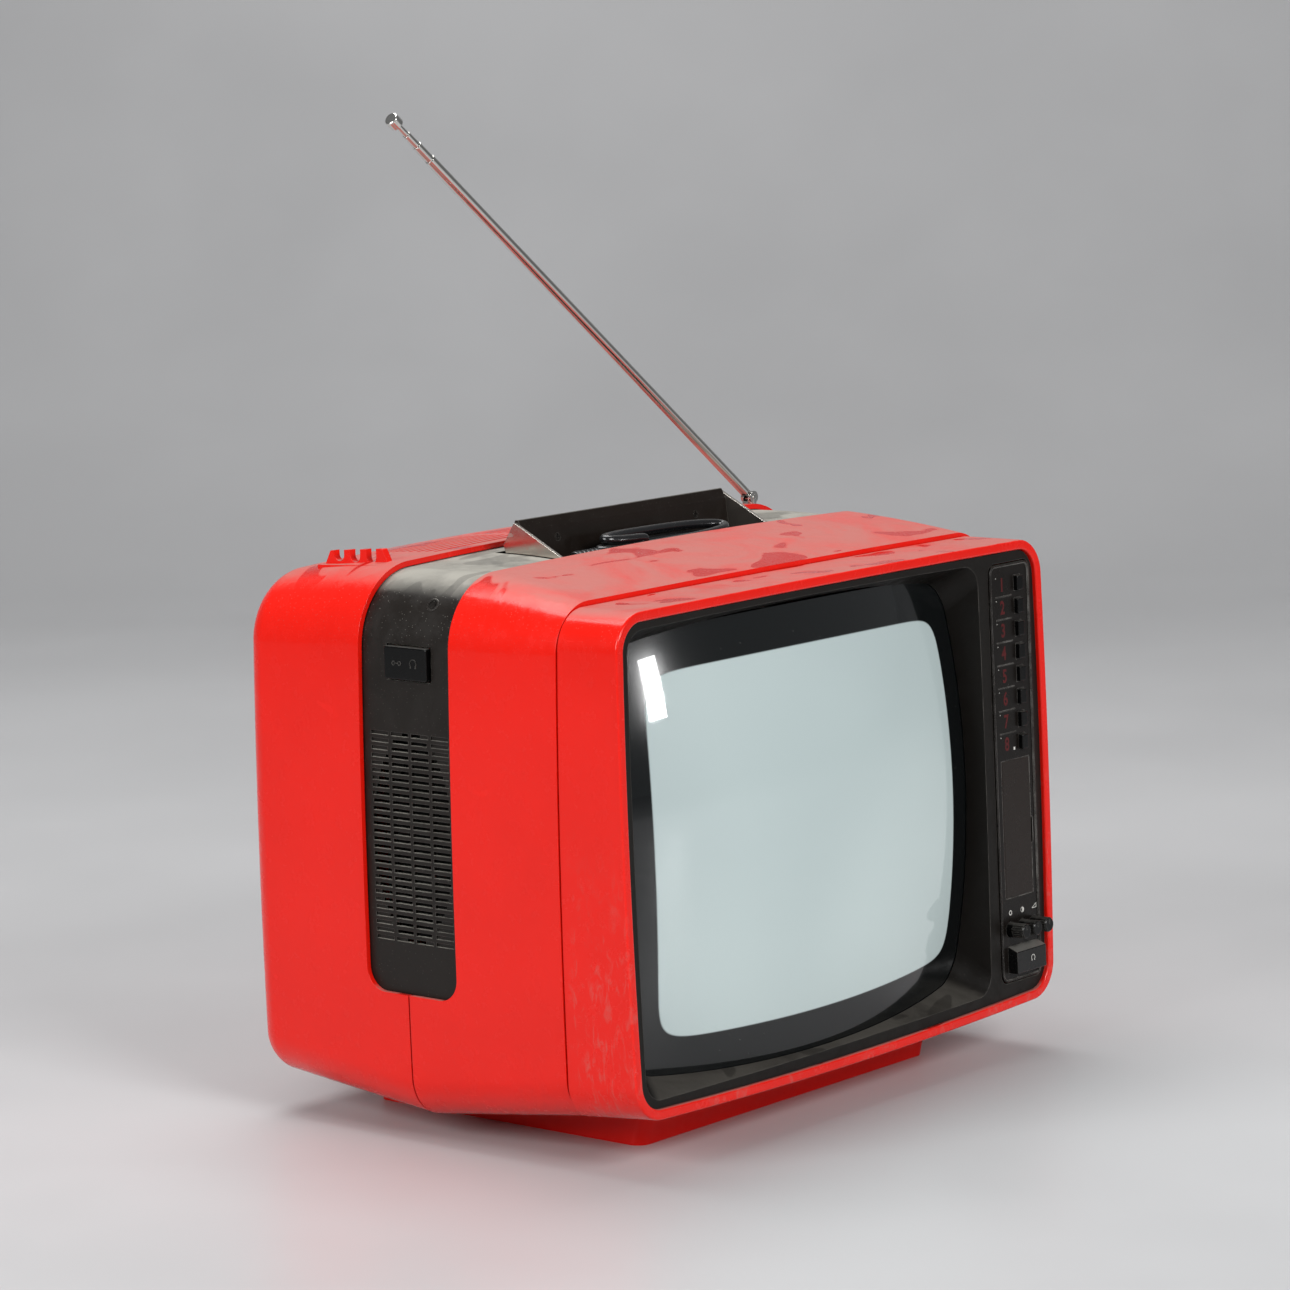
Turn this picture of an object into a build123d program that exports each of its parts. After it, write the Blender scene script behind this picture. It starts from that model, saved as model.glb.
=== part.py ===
from build123d import *
import os
from math import atan2, cos, degrees, radians, sin

# Portable colour television. Millimetres; X to the right, Y to the rear, Z up.
# The origin is the centre of the pedestal's footprint, on the surface that the set stands on.
# "Depth" is measured to the rear from the case's lower front edge, "height" up from that edge.

# ---- driving dimensions ----
FRONT_Y = -172.0            # the case's lower front edge
CASE_Z = 37.2
LEAN = 1.55                 # degrees that the front leans back
WALL = 3.5
SEAM = 55.0                 # front frame to main shell
PARTING = 184.0             # main shell to rear cover
REAR = 326.0
GAP = 0.3                   # between parts that meet inside the case
JOINT_LINE = 1.1            # the open line between neighbouring shells
RIM_WIDTH = 6.5
RIM_DEPTH = 9.0

BAND_FRONT, BAND_REAR = 143.0, 220.0
BAND_FOOT = 59.5            # height of the band's lower ends
BAND_STEP = 4.0             # how far the band lies below the red shells
BAND_WALL = 3.0
BAND_LAP = 6.0              # how far the band runs on under the shells

MASK_DEPTH = 3.0            # the mask's flat border behind the rim
PLATE = 3.0

TUBE_X, TUBE_HEIGHT = -25.7, 155.8
GLASS_RADIUS = 700.0
GLASS_CROWN = -5.4          # depth of the glass at its centre
SKIRT_REAR = 68.0
NECK_RADIUS = 14.5
NECK_END = 345.0

PANEL_LEFT, PANEL_RIGHT = 168.0, 214.0
PANEL_FOOT, PANEL_TOP = 15.5, 300.5
KEY_X, KEY_TOP, KEY_PITCH = 200.5, 286.4, 15.5
KEY_WIDTH, KEY_HEIGHT, KEY_PROUD = 7.0, 10.0, 3.2
KEY_COUNT = 8
DOOR_LEFT, DOOR_RIGHT, DOOR_FOOT, DOOR_TOP = 175.5, 207.5, 73.0, 166.5
KNOB_XS = (179.8, 193.2, 206.8)
KNOB_HEIGHT, KNOB_RADIUS, KNOB_PROUD = 51.0, 5.1, 13.4
POWER_X, POWER_FOOT, POWER_TOP, POWER_WIDTH, POWER_PROUD = 193.0, 21.5, 39.5, 33.6, 7.4
RUNNING = 0.05              # radial clearance of a turning pin or shaft
SIDE_GAP = 0.25             # clearance round a button in its window

TRAY_HALF, TRAY_FRONT, TRAY_REAR, TRAY_FLOOR = 110.5, 141.5, 206.0, 296.0
HANDLE_DEPTH, HANDLE_HEIGHT, HANDLE_BOSS = 154.0, 318.0, 11.0
ARM_IN, ARM_OUT = 106.0, 108.5
HANDLE_PIN = 3.0
CABLE_RADIUS = 3.2

ANTENNA_X, ANTENNA_DEPTH, ANTENNA_HEIGHT = 195.0, 235.0, 333.0
ANTENNA_RISE = 37.7         # degrees above level at rest, towards the left
ANTENNA_BOSS, ANTENNA_SEAT, ANTENNA_BORE, ANTENNA_SPIGOT = 8.5, 8.4, 6.0, 3.0   # radii
COMB_X, COMB_START, COMB_END = -182.0, 230.0, 289.0
COMB_PITCH, COMB_SLOT = 14.1, 8.6

PEDESTAL_HALF, PEDESTAL_FRONT, PEDESTAL_REAR = 153.3, 58.7, 285.3
PAD_THICK, PAD_RADIUS = 3.0, 8.8    # the rubber pads are let in level with the pedestal's underside

os.makedirs("parts", exist_ok=True)


def save(builder, name):
    builder.part.label = name
    export_step(builder.part, f"parts/{name}.step")


def at(x, depth, height):
    """A point of the case, in the part's own frame."""
    return Vector(x, FRONT_Y + depth, CASE_Z + height)


# ---- planes ----
FRONT = Plane(
    origin=at(0, 0, 0),
    x_dir=(1, 0, 0),
    z_dir=(0, -cos(radians(LEAN)), sin(radians(LEAN))),
)


def face_plane(depth):
    """Parallel to the leaning front, a depth behind it."""
    return FRONT.offset(-depth)


def case_plane(depth):
    """Upright across the case, with its origin at the height of the case's lower edge."""
    return Plane(origin=at(0, depth, 0), x_dir=(1, 0, 0), z_dir=(0, -1, 0))


def side_plane(x):
    """Upright along the case: local x is depth and local y is height."""
    return Plane(origin=at(x, 0, 0), x_dir=(0, 1, 0), z_dir=(1, 0, 0))


def top_plane(height):
    """Level: local x is x and local y is depth."""
    return Plane(origin=at(0, 0, height), x_dir=(1, 0, 0), z_dir=(0, 0, 1))


# ---- the case's outline ----
def through_three(depth, front, middle, rear):
    """The parabola through the seam, the parting plane and the rear."""
    a = (depth - PARTING) * (depth - REAR) / ((SEAM - PARTING) * (SEAM - REAR))
    b = (depth - SEAM) * (depth - REAR) / ((PARTING - SEAM) * (PARTING - REAR))
    c = (depth - SEAM) * (depth - PARTING) / ((REAR - SEAM) * (REAR - PARTING))
    return a * front + b * middle + c * rear


def between(depth, start, end, low, high):
    return low + (high - low) * (depth - start) / (end - start)


def bowed_outline(half, foot, top, bows, foot_radius, top_radius, middle=0.0):
    """A rectangle with slightly bowed sides and rounded corners. bows: side, foot, top."""
    side_bow, foot_bow, top_bow = bows
    left, right, centre = middle - half, middle + half, (foot + top) / 2
    with BuildLine() as sides:
        ThreePointArc((left, foot), (middle, foot - foot_bow), (right, foot))
        ThreePointArc((right, foot), (right + side_bow, centre), (right, top))
        ThreePointArc((right, top), (middle, top + top_bow), (left, top))
        ThreePointArc((left, top), (left - side_bow, centre), (left, foot))
    make_face(sides.edges())
    fillet(vertices().sort_by(Axis.Y)[:2], foot_radius)
    fillet(vertices().sort_by(Axis.Y)[-2:], top_radius)


def frame_outline(depth, inset):
    """The front frame's outline."""
    half = between(depth, 0, SEAM, 225.0, 225.5) - inset
    foot = between(depth, 0, SEAM, 0.0, -5.0) + inset
    top = between(depth, 0, SEAM, 315.0, 314.5) - inset
    bowed_outline(half, foot, top, (3, 5, 1), 25 - inset, 25 - inset)


def case_outline(depth, inset):
    """The outline of the main shell and the rear cover, widest at the parting plane."""
    half = through_three(depth, 226.0, 227.0, 224.0) - inset
    if depth <= PARTING:
        foot = between(depth, SEAM, PARTING, -5.5, -22.0) + inset
    else:
        foot = between(depth, PARTING, REAR, -22.0, -8.5) + inset
    top = through_three(depth, 317.3, 329.0, 316.0) - inset
    crown = through_three(depth, 1.2, 5.0, 7.0)
    top_radius = through_three(depth, 32.0, 50.0, 44.0) - inset
    bowed_outline(half, foot, top, (3, 4, crown), 30 - inset, top_radius)


def case_block(depths, inset, mode=Mode.ADD):
    """Lofts the case's outline through the given depths, inside a BuildPart."""
    sections = []
    for depth in depths:
        with BuildSketch(case_plane(depth)) as section:
            case_outline(depth, inset)
        sections.append(section.sketch.face())
    loft(sections, mode=mode)


# ---- front frame: the red ring round the screen, with a post at each corner of the tube ----
POST_SPOTS = ((-213.0, 9.5), (-212.0, 302.5), (161.0, 2.8), (161.0, 306.3))
POST_RADIUS, POST_FRONT, POST_REAR = 6.5, 33.0, 46.0
SCREW_RADIUS = 1.9

with BuildPart() as frame_cavity:
    for depth in (-3.0, SEAM + 1):
        with BuildSketch(case_plane(depth)):
            frame_outline(depth, WALL)
    loft(ruled=True)
    split(bisect_by=face_plane(RIM_DEPTH), keep=Keep.BOTTOM)

with BuildPart() as front_frame:
    for depth in (-3.0, SEAM):
        with BuildSketch(case_plane(depth)):
            frame_outline(depth, 0)
    loft(ruled=True)
    for depth in (-4.0, SEAM + 1):
        with BuildSketch(case_plane(depth)):
            frame_outline(depth, RIM_WIDTH)
    loft(ruled=True, mode=Mode.SUBTRACT)
    add(frame_cavity.part, mode=Mode.SUBTRACT)
    split(bisect_by=FRONT, keep=Keep.BOTTOM)
    rim_face = faces().sort_by(Axis.Y)[0]
    fillet(rim_face.edges(), 1.5)
    with BuildSketch(face_plane(POST_FRONT)):
        with Locations(*POST_SPOTS):
            Circle(POST_RADIUS)
    extrude(amount=-(POST_REAR - POST_FRONT))
    with BuildSketch(face_plane(POST_REAR)):
        with Locations(*POST_SPOTS):
            Circle(SCREW_RADIUS)
    extrude(amount=POST_REAR - POST_FRONT - 2, mode=Mode.SUBTRACT)
save(front_frame, "front_frame")


# ---- main shell and rear cover, with the window that the dark band fills ----
with BuildPart() as band_window:
    with BuildSketch(side_plane(0)):
        with Locations(((BAND_FRONT + BAND_REAR) / 2, BAND_FOOT + 200)):
            Rectangle(BAND_REAR - BAND_FRONT, 400)
        fillet(vertices().sort_by(Axis.Y)[:2], 15)
    extrude(amount=300, both=True)

BOSS_X, LOWER_BOSS, UPPER_BOSS = 205.0, 14.0, 262.0
BOSS_RADIUS, BOSS_RIB = 5.5, 3.0
BAND_BOSS_REAR = 228.0


def boss_profile(height, reach):
    """A screw boss near each side wall, with a rib out to the wall."""
    for side in (-1, 1):
        with Locations((side * BOSS_X, height)):
            Circle(BOSS_RADIUS)
        with Locations((side * (BOSS_X + reach) / 2, height)):
            Rectangle(reach - BOSS_X, BOSS_RIB)


def boss_holes(height, radius):
    with Locations((-BOSS_X, height), (BOSS_X, height)):
        Circle(radius)


with BuildPart() as main_shell:
    case_block((SEAM + JOINT_LINE, 120.0, PARTING), 0)
    case_block((SEAM - 1, 120.0, PARTING + 1), WALL, Mode.SUBTRACT)
    add(band_window.part, mode=Mode.SUBTRACT)
    with BuildSketch(case_plane(PARTING)):
        boss_profile(LOWER_BOSS, 224.5)
    extrude(amount=26)
    with BuildSketch(case_plane(PARTING)):
        boss_holes(LOWER_BOSS, SCREW_RADIUS)
    extrude(amount=20, mode=Mode.SUBTRACT)
save(main_shell, "main_shell")

REAR_ROUND = 20.0
BULGE_HALF, BULGE_FOOT, BULGE_TOP, BULGE_REAR = 100.0, 60.0, 245.0, 374.0
SCREW_HEAD_RADIUS, SCREW_HEAD = 3.6, 3.0
SCREW_WELL = 10.0           # how deep the screw heads sit in the rear face
VENT_WIDTH, VENT_PITCH = 2.4, 7.5
ANTENNA_BOSS_TOP = 325.5
AERIAL_SPOT, LEAD_SPOT = (150, 24), (-150, 24)
AERIAL_OPENING, LEAD_OPENING, AERIAL_CONTACT = 7.0, 5.0, 3.0    # radii


def bulge_outline(depth, inset):
    """The housing round the tube's neck, tapering to the rear."""
    taper = between(depth, REAR, BULGE_REAR, 0.0, 9.0) + inset
    half = BULGE_HALF - taper
    bowed_outline(half, BULGE_FOOT + taper, BULGE_TOP - taper, (2, 2, 2), 26 - inset, 26 - inset, TUBE_X)


with BuildPart() as bulge:
    for depth in (REAR - 12, BULGE_REAR):
        with BuildSketch(case_plane(depth)):
            bulge_outline(depth, 0)
    loft(ruled=True)
    fillet(faces().sort_by(Axis.Y)[-1].edges(), 8)

with BuildPart() as bulge_cavity:
    for depth in (REAR - 14, BULGE_REAR - WALL):
        with BuildSketch(case_plane(depth)):
            bulge_outline(depth, WALL)
    loft(ruled=True)
    fillet(faces().sort_by(Axis.Y)[-1].edges(), 5)

with BuildPart() as rear_cavity:
    case_block((PARTING - 1, 255.0, REAR - WALL), WALL)
    fillet(faces().sort_by(Axis.Y)[-1].edges(), REAR_ROUND - WALL)

with BuildPart() as rear_block:
    case_block((PARTING + JOINT_LINE, 255.0, REAR), 0)
    fillet(faces().sort_by(Axis.Y)[-1].edges(), REAR_ROUND)

with BuildPart() as rear_bosses:
    # the lower two meet the main shell, the upper two meet the band
    for height, start in ((LOWER_BOSS, PARTING + GAP), (UPPER_BOSS, BAND_BOSS_REAR + GAP)):
        with BuildSketch(case_plane(start)):
            boss_profile(height, 224.5)
        extrude(amount=-(REAR - start))
    add(rear_block.part, mode=Mode.INTERSECT)

with BuildPart() as rear_cover:
    add(rear_block.part)
    add(bulge.part)
    add(rear_cavity.part, mode=Mode.SUBTRACT)
    add(bulge_cavity.part, mode=Mode.SUBTRACT)
    add(band_window.part, mode=Mode.SUBTRACT)
    add(rear_bosses.part)
    for height in (LOWER_BOSS, UPPER_BOSS):
        with BuildSketch(case_plane(REAR + 2)):
            boss_holes(height, SCREW_HEAD_RADIUS + 0.4)
        extrude(amount=SCREW_WELL + 2, mode=Mode.SUBTRACT)
        with BuildSketch(case_plane(REAR)):
            boss_holes(height, SCREW_RADIUS + 0.3)
        extrude(amount=REAR - PARTING, mode=Mode.SUBTRACT)
    # antenna boss
    with BuildSketch(top_plane(ANTENNA_BOSS_TOP)):
        with Locations((ANTENNA_X, ANTENNA_DEPTH)):
            Circle(ANTENNA_BOSS)
    extrude(amount=-12)
    with BuildSketch(top_plane(ANTENNA_BOSS_TOP)):
        with Locations((ANTENNA_X, ANTENNA_DEPTH)):
            Circle(ANTENNA_SEAT)
    extrude(amount=10, mode=Mode.SUBTRACT)
    with BuildSketch(top_plane(ANTENNA_BOSS_TOP)):
        with Locations((ANTENNA_X, ANTENNA_DEPTH)):
            Circle(ANTENNA_BORE)
    extrude(amount=-30, mode=Mode.SUBTRACT)
    # antenna rest: four teeth with three round-bottomed slots between them, on a foot
    with BuildSketch(side_plane(COMB_X)):
        with BuildLine():
            Polyline(
                (COMB_START, 314),
                (COMB_END, 311),
                (COMB_END - 2, 325),
                (COMB_END - 6.5, 334),
                (COMB_START + 7, 337.8),
                (COMB_START + 1.5, 327),
                close=True,
            )
        make_face()
        fillet(vertices().sort_by(Axis.Y)[-2:], 1.8)
        for slot in range(3):
            with Locations((COMB_START + 16.5 + slot * COMB_PITCH, 340)):
                SlotOverall(25, COMB_SLOT, rotation=90, mode=Mode.SUBTRACT)
    extrude(amount=2.5, both=True)
    with BuildSketch(side_plane(COMB_X - 9)):
        with BuildLine():
            Polyline(
                (COMB_START - 1, 312),
                (COMB_END + 1, 309),
                (COMB_END - 1, 325),
                (COMB_START + 1, 328),
                close=True,
            )
        make_face()
    extrude(amount=12.5)
    # cooling vents: fine slots across the top, and rows of slots in the rear face
    with BuildSketch(top_plane(300)):
        for i in range(8):
            for x in (-97.0, 0.0, 97.0):
                with Locations((x, 232 + i * VENT_PITCH)):
                    SlotOverall(86, VENT_WIDTH)
    extrude(amount=60, mode=Mode.SUBTRACT)
    with BuildSketch(case_plane(REAR + 2)):
        for i in range(9):
            for x in (-160.0, 128.0):
                with Locations((x, 60 + i * 14)):
                    SlotOverall(52, 4)
    extrude(amount=8, mode=Mode.SUBTRACT)
    # openings for the aerial socket and the mains lead
    with BuildSketch(case_plane(REAR + 2)):
        with Locations(AERIAL_SPOT):
            Circle(AERIAL_OPENING)
        with Locations(LEAD_SPOT):
            Circle(LEAD_OPENING)
    extrude(amount=8, mode=Mode.SUBTRACT)
save(rear_cover, "rear_cover")


# ---- the dark band: an arch over the top and down both sides ----
GRILLE_FRONT, GRILLE_REAR, GRILLE_FOOT = 147.5, 213.5, 92.0
LOUVRES, LOUVRE_PITCH, LOUVRE_TALL = 28, 4.9, 2.5
COLUMNS, RIB = 4, 2.2
JACK_DEPTH, JACK_HEIGHT, JACK_WIDE, JACK_TALL = 180.0, 273.0, 36.0, 21.0
LOUVRE_WIDE = (GRILLE_REAR - GRILLE_FRONT + RIB) / COLUMNS - RIB
SPEAKER_SEAT = -213.0
SPEAKER_SCREWS = [(depth, height) for depth in (152.0, 209.0) for height in (97.0, 225.0)]

with BuildPart() as band_zone:
    with BuildSketch(side_plane(0)):
        with Locations(((BAND_FRONT + BAND_REAR) / 2, BAND_FOOT - BAND_LAP + 200)):
            Rectangle(BAND_REAR - BAND_FRONT + 2 * BAND_LAP, 400)
        fillet(vertices().sort_by(Axis.Y)[:2], 20)
    extrude(amount=300, both=True)

BAND_DEPTHS = (BAND_FRONT - BAND_LAP - 1, PARTING, BAND_REAR + BAND_LAP + 1)

GRILLE_MIDDLE = ((GRILLE_FRONT + GRILLE_REAR) / 2, GRILLE_FOOT + LOUVRES * LOUVRE_PITCH / 2)
OVAL = (34.0, 68.0)         # half-sizes of the oval inside which the louvres go right through
SHORTEST_LOUVRE = 1.5


def louvre_runs(wanted_open):
    """The open or the blind stretches of the louvres: depth, height and width of each."""
    runs = []
    for row in range(LOUVRES):
        up = (row + 0.5 - LOUVRES / 2) * LOUVRE_PITCH
        reach = OVAL[0] * max(0.0, 1 - (up / OVAL[1]) ** 2) ** 0.5
        for column in range(COLUMNS):
            middle = (column + 0.5 - COLUMNS / 2) * (LOUVRE_WIDE + RIB)
            left, right = middle - LOUVRE_WIDE / 2, middle + LOUVRE_WIDE / 2
            if wanted_open:
                ends = [(max(left, -reach), min(right, reach))]
            else:
                ends = [(left, min(right, -reach)), (max(left, reach), right)]
            for start, end in ends:
                if end - start > SHORTEST_LOUVRE:
                    runs.append(((start + end) / 2 + GRILLE_MIDDLE[0], up + GRILLE_MIDDLE[1], end - start))
    return runs


def louvre_sketch(wanted_open):
    for depth, height, wide in louvre_runs(wanted_open):
        with Locations((depth, height)):
            Rectangle(wide, LOUVRE_TALL)


with BuildPart() as blind_louvres:
    with BuildSketch(side_plane(0)):
        louvre_sketch(False)
    extrude(amount=300, both=True)
    case_block((BAND_DEPTHS[0] - 1, PARTING, BAND_DEPTHS[2] + 1), BAND_STEP + 1.4, Mode.SUBTRACT)

with BuildPart() as centre_band:
    case_block(BAND_DEPTHS, BAND_STEP)
    case_block((BAND_DEPTHS[0] - 1, PARTING, BAND_DEPTHS[2] + 1), BAND_STEP + BAND_WALL, Mode.SUBTRACT)
    add(band_zone.part, mode=Mode.INTERSECT)
    # opening of the handle bay
    with BuildSketch(top_plane(300)):
        with Locations((0, (TRAY_FRONT + TRAY_REAR) / 2)):
            Rectangle(2 * TRAY_HALF, TRAY_REAR - TRAY_FRONT)
    extrude(amount=60, mode=Mode.SUBTRACT)
    # screw bosses for the rear cover
    with BuildSketch(case_plane(BAND_BOSS_REAR)):
        boss_profile(UPPER_BOSS, 221.5)
    extrude(amount=20)
    with BuildSketch(case_plane(BAND_BOSS_REAR)):
        boss_holes(UPPER_BOSS, SCREW_RADIUS)
    extrude(amount=16, mode=Mode.SUBTRACT)
    # loudspeaker grille on the left and the matching vent on the right
    with BuildSketch(side_plane(0)):
        louvre_sketch(True)
    extrude(amount=300, both=True, mode=Mode.SUBTRACT)
    add(blind_louvres.part, mode=Mode.SUBTRACT)
    # posts for the loudspeaker
    with BuildSketch(side_plane(SPEAKER_SEAT)):
        with Locations(*SPEAKER_SCREWS):
            Circle(3.5)
    extrude(amount=-10.8)
    with BuildSketch(side_plane(SPEAKER_SEAT)):
        with Locations(*SPEAKER_SCREWS):
            Circle(1.2)
    extrude(amount=-8, mode=Mode.SUBTRACT)
    # opening for the socket cover
    with BuildSketch(side_plane(-300)):
        with Locations((JACK_DEPTH, JACK_HEIGHT)):
            Rectangle(JACK_WIDE + 2, JACK_TALL + 2)
    extrude(amount=150, mode=Mode.SUBTRACT)
save(centre_band, "centre_band")


# ---- handle bay: an open-topped tray under the band, with a bearing hole in each side wall ----
TRAY_WALL = 2.0
TRAY_TOP = 323.0

with BuildPart() as handle_tray:
    middle = (TRAY_FRONT + TRAY_REAR) / 2
    with BuildSketch(top_plane(TRAY_FLOOR - TRAY_WALL)):
        with Locations((0, middle)):
            Rectangle(2 * (TRAY_HALF + TRAY_WALL), TRAY_REAR - TRAY_FRONT + 2 * TRAY_WALL)
    extrude(amount=TRAY_TOP - TRAY_FLOOR + TRAY_WALL)
    fillet(edges().filter_by(Axis.Z), 3)
    with BuildSketch(top_plane(TRAY_FLOOR)):
        with Locations((0, middle)):
            Rectangle(2 * TRAY_HALF, TRAY_REAR - TRAY_FRONT)
    extrude(amount=TRAY_TOP - TRAY_FLOOR + 5, mode=Mode.SUBTRACT)
    with BuildSketch(side_plane(-TRAY_HALF - 5)):
        with Locations((HANDLE_DEPTH, HANDLE_HEIGHT)):
            Circle(HANDLE_PIN + RUNNING)
    extrude(amount=2 * TRAY_HALF + 10, mode=Mode.SUBTRACT)
save(handle_tray, "handle_tray")


# ---- handle: two arms, a grip between them, pins and screws ----
ARM_THICK = ARM_OUT - ARM_IN
GRIP_SCREW_X, GRIP_SCREW_HEIGHT = 72.0, 336.5

with BuildPart() as handle_arms:
    for start in (-ARM_OUT, ARM_IN):
        with BuildSketch(side_plane(start)):
            with BuildLine():
                Polyline(
                    (HANDLE_DEPTH - 4.9, HANDLE_HEIGHT + 9.85),
                    (190.5, 349.0),
                    (200.0, 334.0),
                    (193.0, 315.0),
                    (HANDLE_DEPTH, HANDLE_HEIGHT - HANDLE_BOSS),
                    close=True,
                )
            make_face()
            with Locations((HANDLE_DEPTH, HANDLE_HEIGHT)):
                Circle(HANDLE_BOSS)
            with Locations((HANDLE_DEPTH, HANDLE_HEIGHT)):
                Circle(HANDLE_PIN, mode=Mode.SUBTRACT)
        extrude(amount=ARM_THICK)
save(handle_arms, "handle_arms")

with BuildPart() as handle_pins:
    for start in (-TRAY_HALF - TRAY_WALL, ARM_IN - 1):
        with BuildSketch(side_plane(start)):
            with Locations((HANDLE_DEPTH, HANDLE_HEIGHT)):
                Circle(HANDLE_PIN)
        extrude(amount=TRAY_HALF + TRAY_WALL - ARM_IN + 1)
save(handle_pins, "handle_pins")

with BuildPart() as handle_grip:
    with BuildSketch(side_plane(-ARM_IN)):
        with BuildLine():
            Polyline(
                (181.5, 312.0),
                (185.7, 344.0),
                (189.0, 350.5),
                (191.5, 350.5),
                (198.5, 334.5),
                (190.0, 312.0),
                close=True,
            )
        make_face()
        fillet(vertices(), 1.2)
    extrude(amount=2 * ARM_IN)
    grip_face = Plane(origin=at(0, 184.73, GRIP_SCREW_HEIGHT), x_dir=(1, 0, 0), z_dir=(0, -38.0, 5.0))
    with BuildSketch(grip_face.offset(1)):
        with Locations((-GRIP_SCREW_X, 0), (GRIP_SCREW_X, 0)):
            Circle(2.6)
    extrude(amount=-2.6, mode=Mode.SUBTRACT)
    with BuildSketch(grip_face):
        with Locations((-GRIP_SCREW_X, 0), (GRIP_SCREW_X, 0)):
            Circle(1.5)
    extrude(amount=-7, mode=Mode.SUBTRACT)
save(handle_grip, "handle_grip")

with BuildPart() as handle_screws:
    with BuildSketch(grip_face.offset(0.2)):
        with Locations((-GRIP_SCREW_X, 0), (GRIP_SCREW_X, 0)):
            Circle(2.5)
    extrude(amount=-1.7)
    with BuildSketch(grip_face.offset(-1)):
        with Locations((-GRIP_SCREW_X, 0), (GRIP_SCREW_X, 0)):
            Circle(1.4)
    extrude(amount=-5.5)
    with BuildSketch(grip_face.offset(0.2)):
        with Locations((-GRIP_SCREW_X, 0), (GRIP_SCREW_X, 0)):
            Rectangle(3.6, 0.7)
            Rectangle(0.7, 3.6)
    extrude(amount=-0.8, mode=Mode.SUBTRACT)
save(handle_screws, "handle_screws")


# ---- mains lead, coiled in the bay in front of the grip ----
COIL_DEPTH, COIL_TURN = 160.5, 9.5
# left and right ends of each turn's straight runs, from the lowest turn up
TURNS = ((-78, 78), (-74, 79), (-78, 74), (-36, 80), (-30, 84), (-22, 76))
CABLE_PITCH = 2 * CABLE_RADIUS + 0.15
PLUG_LEFT, PLUG_LONG, PLUG_RADIUS, PLUG_HEIGHT = -80.0, 26.0, 6.2, 323.0

with BuildPart() as mains_cable:
    near, far = COIL_DEPTH - COIL_TURN, COIL_DEPTH + COIL_TURN
    for turn, (left, right) in enumerate(TURNS):
        with BuildLine(top_plane(TRAY_FLOOR + CABLE_RADIUS + 0.3 + turn * CABLE_PITCH)) as loop:
            Line((left, near), (right, near))
            ThreePointArc((right, near), (right + COIL_TURN, COIL_DEPTH), (right, far))
            Line((right, far), (left, far))
            ThreePointArc((left, far), (left - COIL_TURN, COIL_DEPTH), (left, near))
        with BuildSketch(Plane(origin=loop.wire() @ 0, z_dir=loop.wire() % 0)):
            Circle(CABLE_RADIUS)
        sweep()
    # the plug lies on the coil
    with BuildSketch(side_plane(PLUG_LEFT)):
        with Locations((COIL_DEPTH - 1, PLUG_HEIGHT)):
            Circle(PLUG_RADIUS - 1)
    extrude(amount=PLUG_LONG)
    for rib in range(6):
        with BuildSketch(side_plane(PLUG_LEFT + 1 + rib * 4)):
            with Locations((COIL_DEPTH - 1, PLUG_HEIGHT)):
                Circle(PLUG_RADIUS)
        extrude(amount=2.4)
save(mains_cable, "mains_cable")


# ---- pedestal with rubber feet ----
PEDESTAL_TALL = 34.0
PEDESTAL_RAKE = 8.0         # how much further forward its top is than its foot
FOOT_SPOTS = [(x, depth) for x in (-130.0, 130.0) for depth in (84.0, 260.0)]

with BuildPart() as frame_underside:
    for depth in (20.0, SEAM + 1):
        with BuildSketch(case_plane(depth)):
            frame_outline(depth, -GAP)
    loft(ruled=True)

with BuildPart() as case_underside:
    case_block((SEAM - 20, 90.0, 140.0, PARTING), -GAP)
    case_block((PARTING, 255.0, REAR), -GAP)


def pedestal_block(inset, low):
    """The raked block between the floor and the case's underside."""
    sections = []
    for height, rake in ((low, 0.0), (PEDESTAL_TALL, PEDESTAL_RAKE)):
        front = PEDESTAL_FRONT - rake + inset
        rear = PEDESTAL_REAR - inset
        with BuildSketch(top_plane(height - CASE_Z)) as section:
            with Locations((0, (front + rear) / 2)):
                RectangleRounded(2 * (PEDESTAL_HALF - inset), rear - front, 9 - inset)
        sections.append(section.sketch.face())
    return sections


with BuildPart() as pedestal:
    loft(pedestal_block(0, 0), ruled=True)
    loft(pedestal_block(4, PAD_THICK + 2), ruled=True, mode=Mode.SUBTRACT)
    add(case_underside.part, mode=Mode.SUBTRACT)
    add(frame_underside.part, mode=Mode.SUBTRACT)
    with BuildSketch(top_plane(-CASE_Z)):
        with Locations(*FOOT_SPOTS):
            Circle(PAD_RADIUS + 0.2)
    extrude(amount=PAD_THICK, mode=Mode.SUBTRACT)
save(pedestal, "pedestal")

with BuildPart() as foot_pads:
    with BuildSketch(top_plane(-CASE_Z)):
        with Locations(*FOOT_SPOTS):
            Circle(PAD_RADIUS)
    extrude(amount=PAD_THICK)
save(foot_pads, "foot_pads")


# ---- picture tube: glass faceplate and funnel, shadow mask and gun ----
SKIRT = (178.0, 139.0)          # half-sizes of the glass skirt
GLASS_WALL = 9.0
BALL = FRONT.from_local_coords((TUBE_X, TUBE_HEIGHT, -(GLASS_CROWN + GLASS_RADIUS)))


def tube_section(depth, half, tall, bow, radius):
    """One rounded-rectangle section of the tube."""
    with BuildSketch(face_plane(depth)) as section:
        foot, top = TUBE_HEIGHT - tall, TUBE_HEIGHT + tall
        bowed_outline(half, foot, top, (bow, bow, bow), radius, radius, TUBE_X)
    return section.sketch.face()


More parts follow.
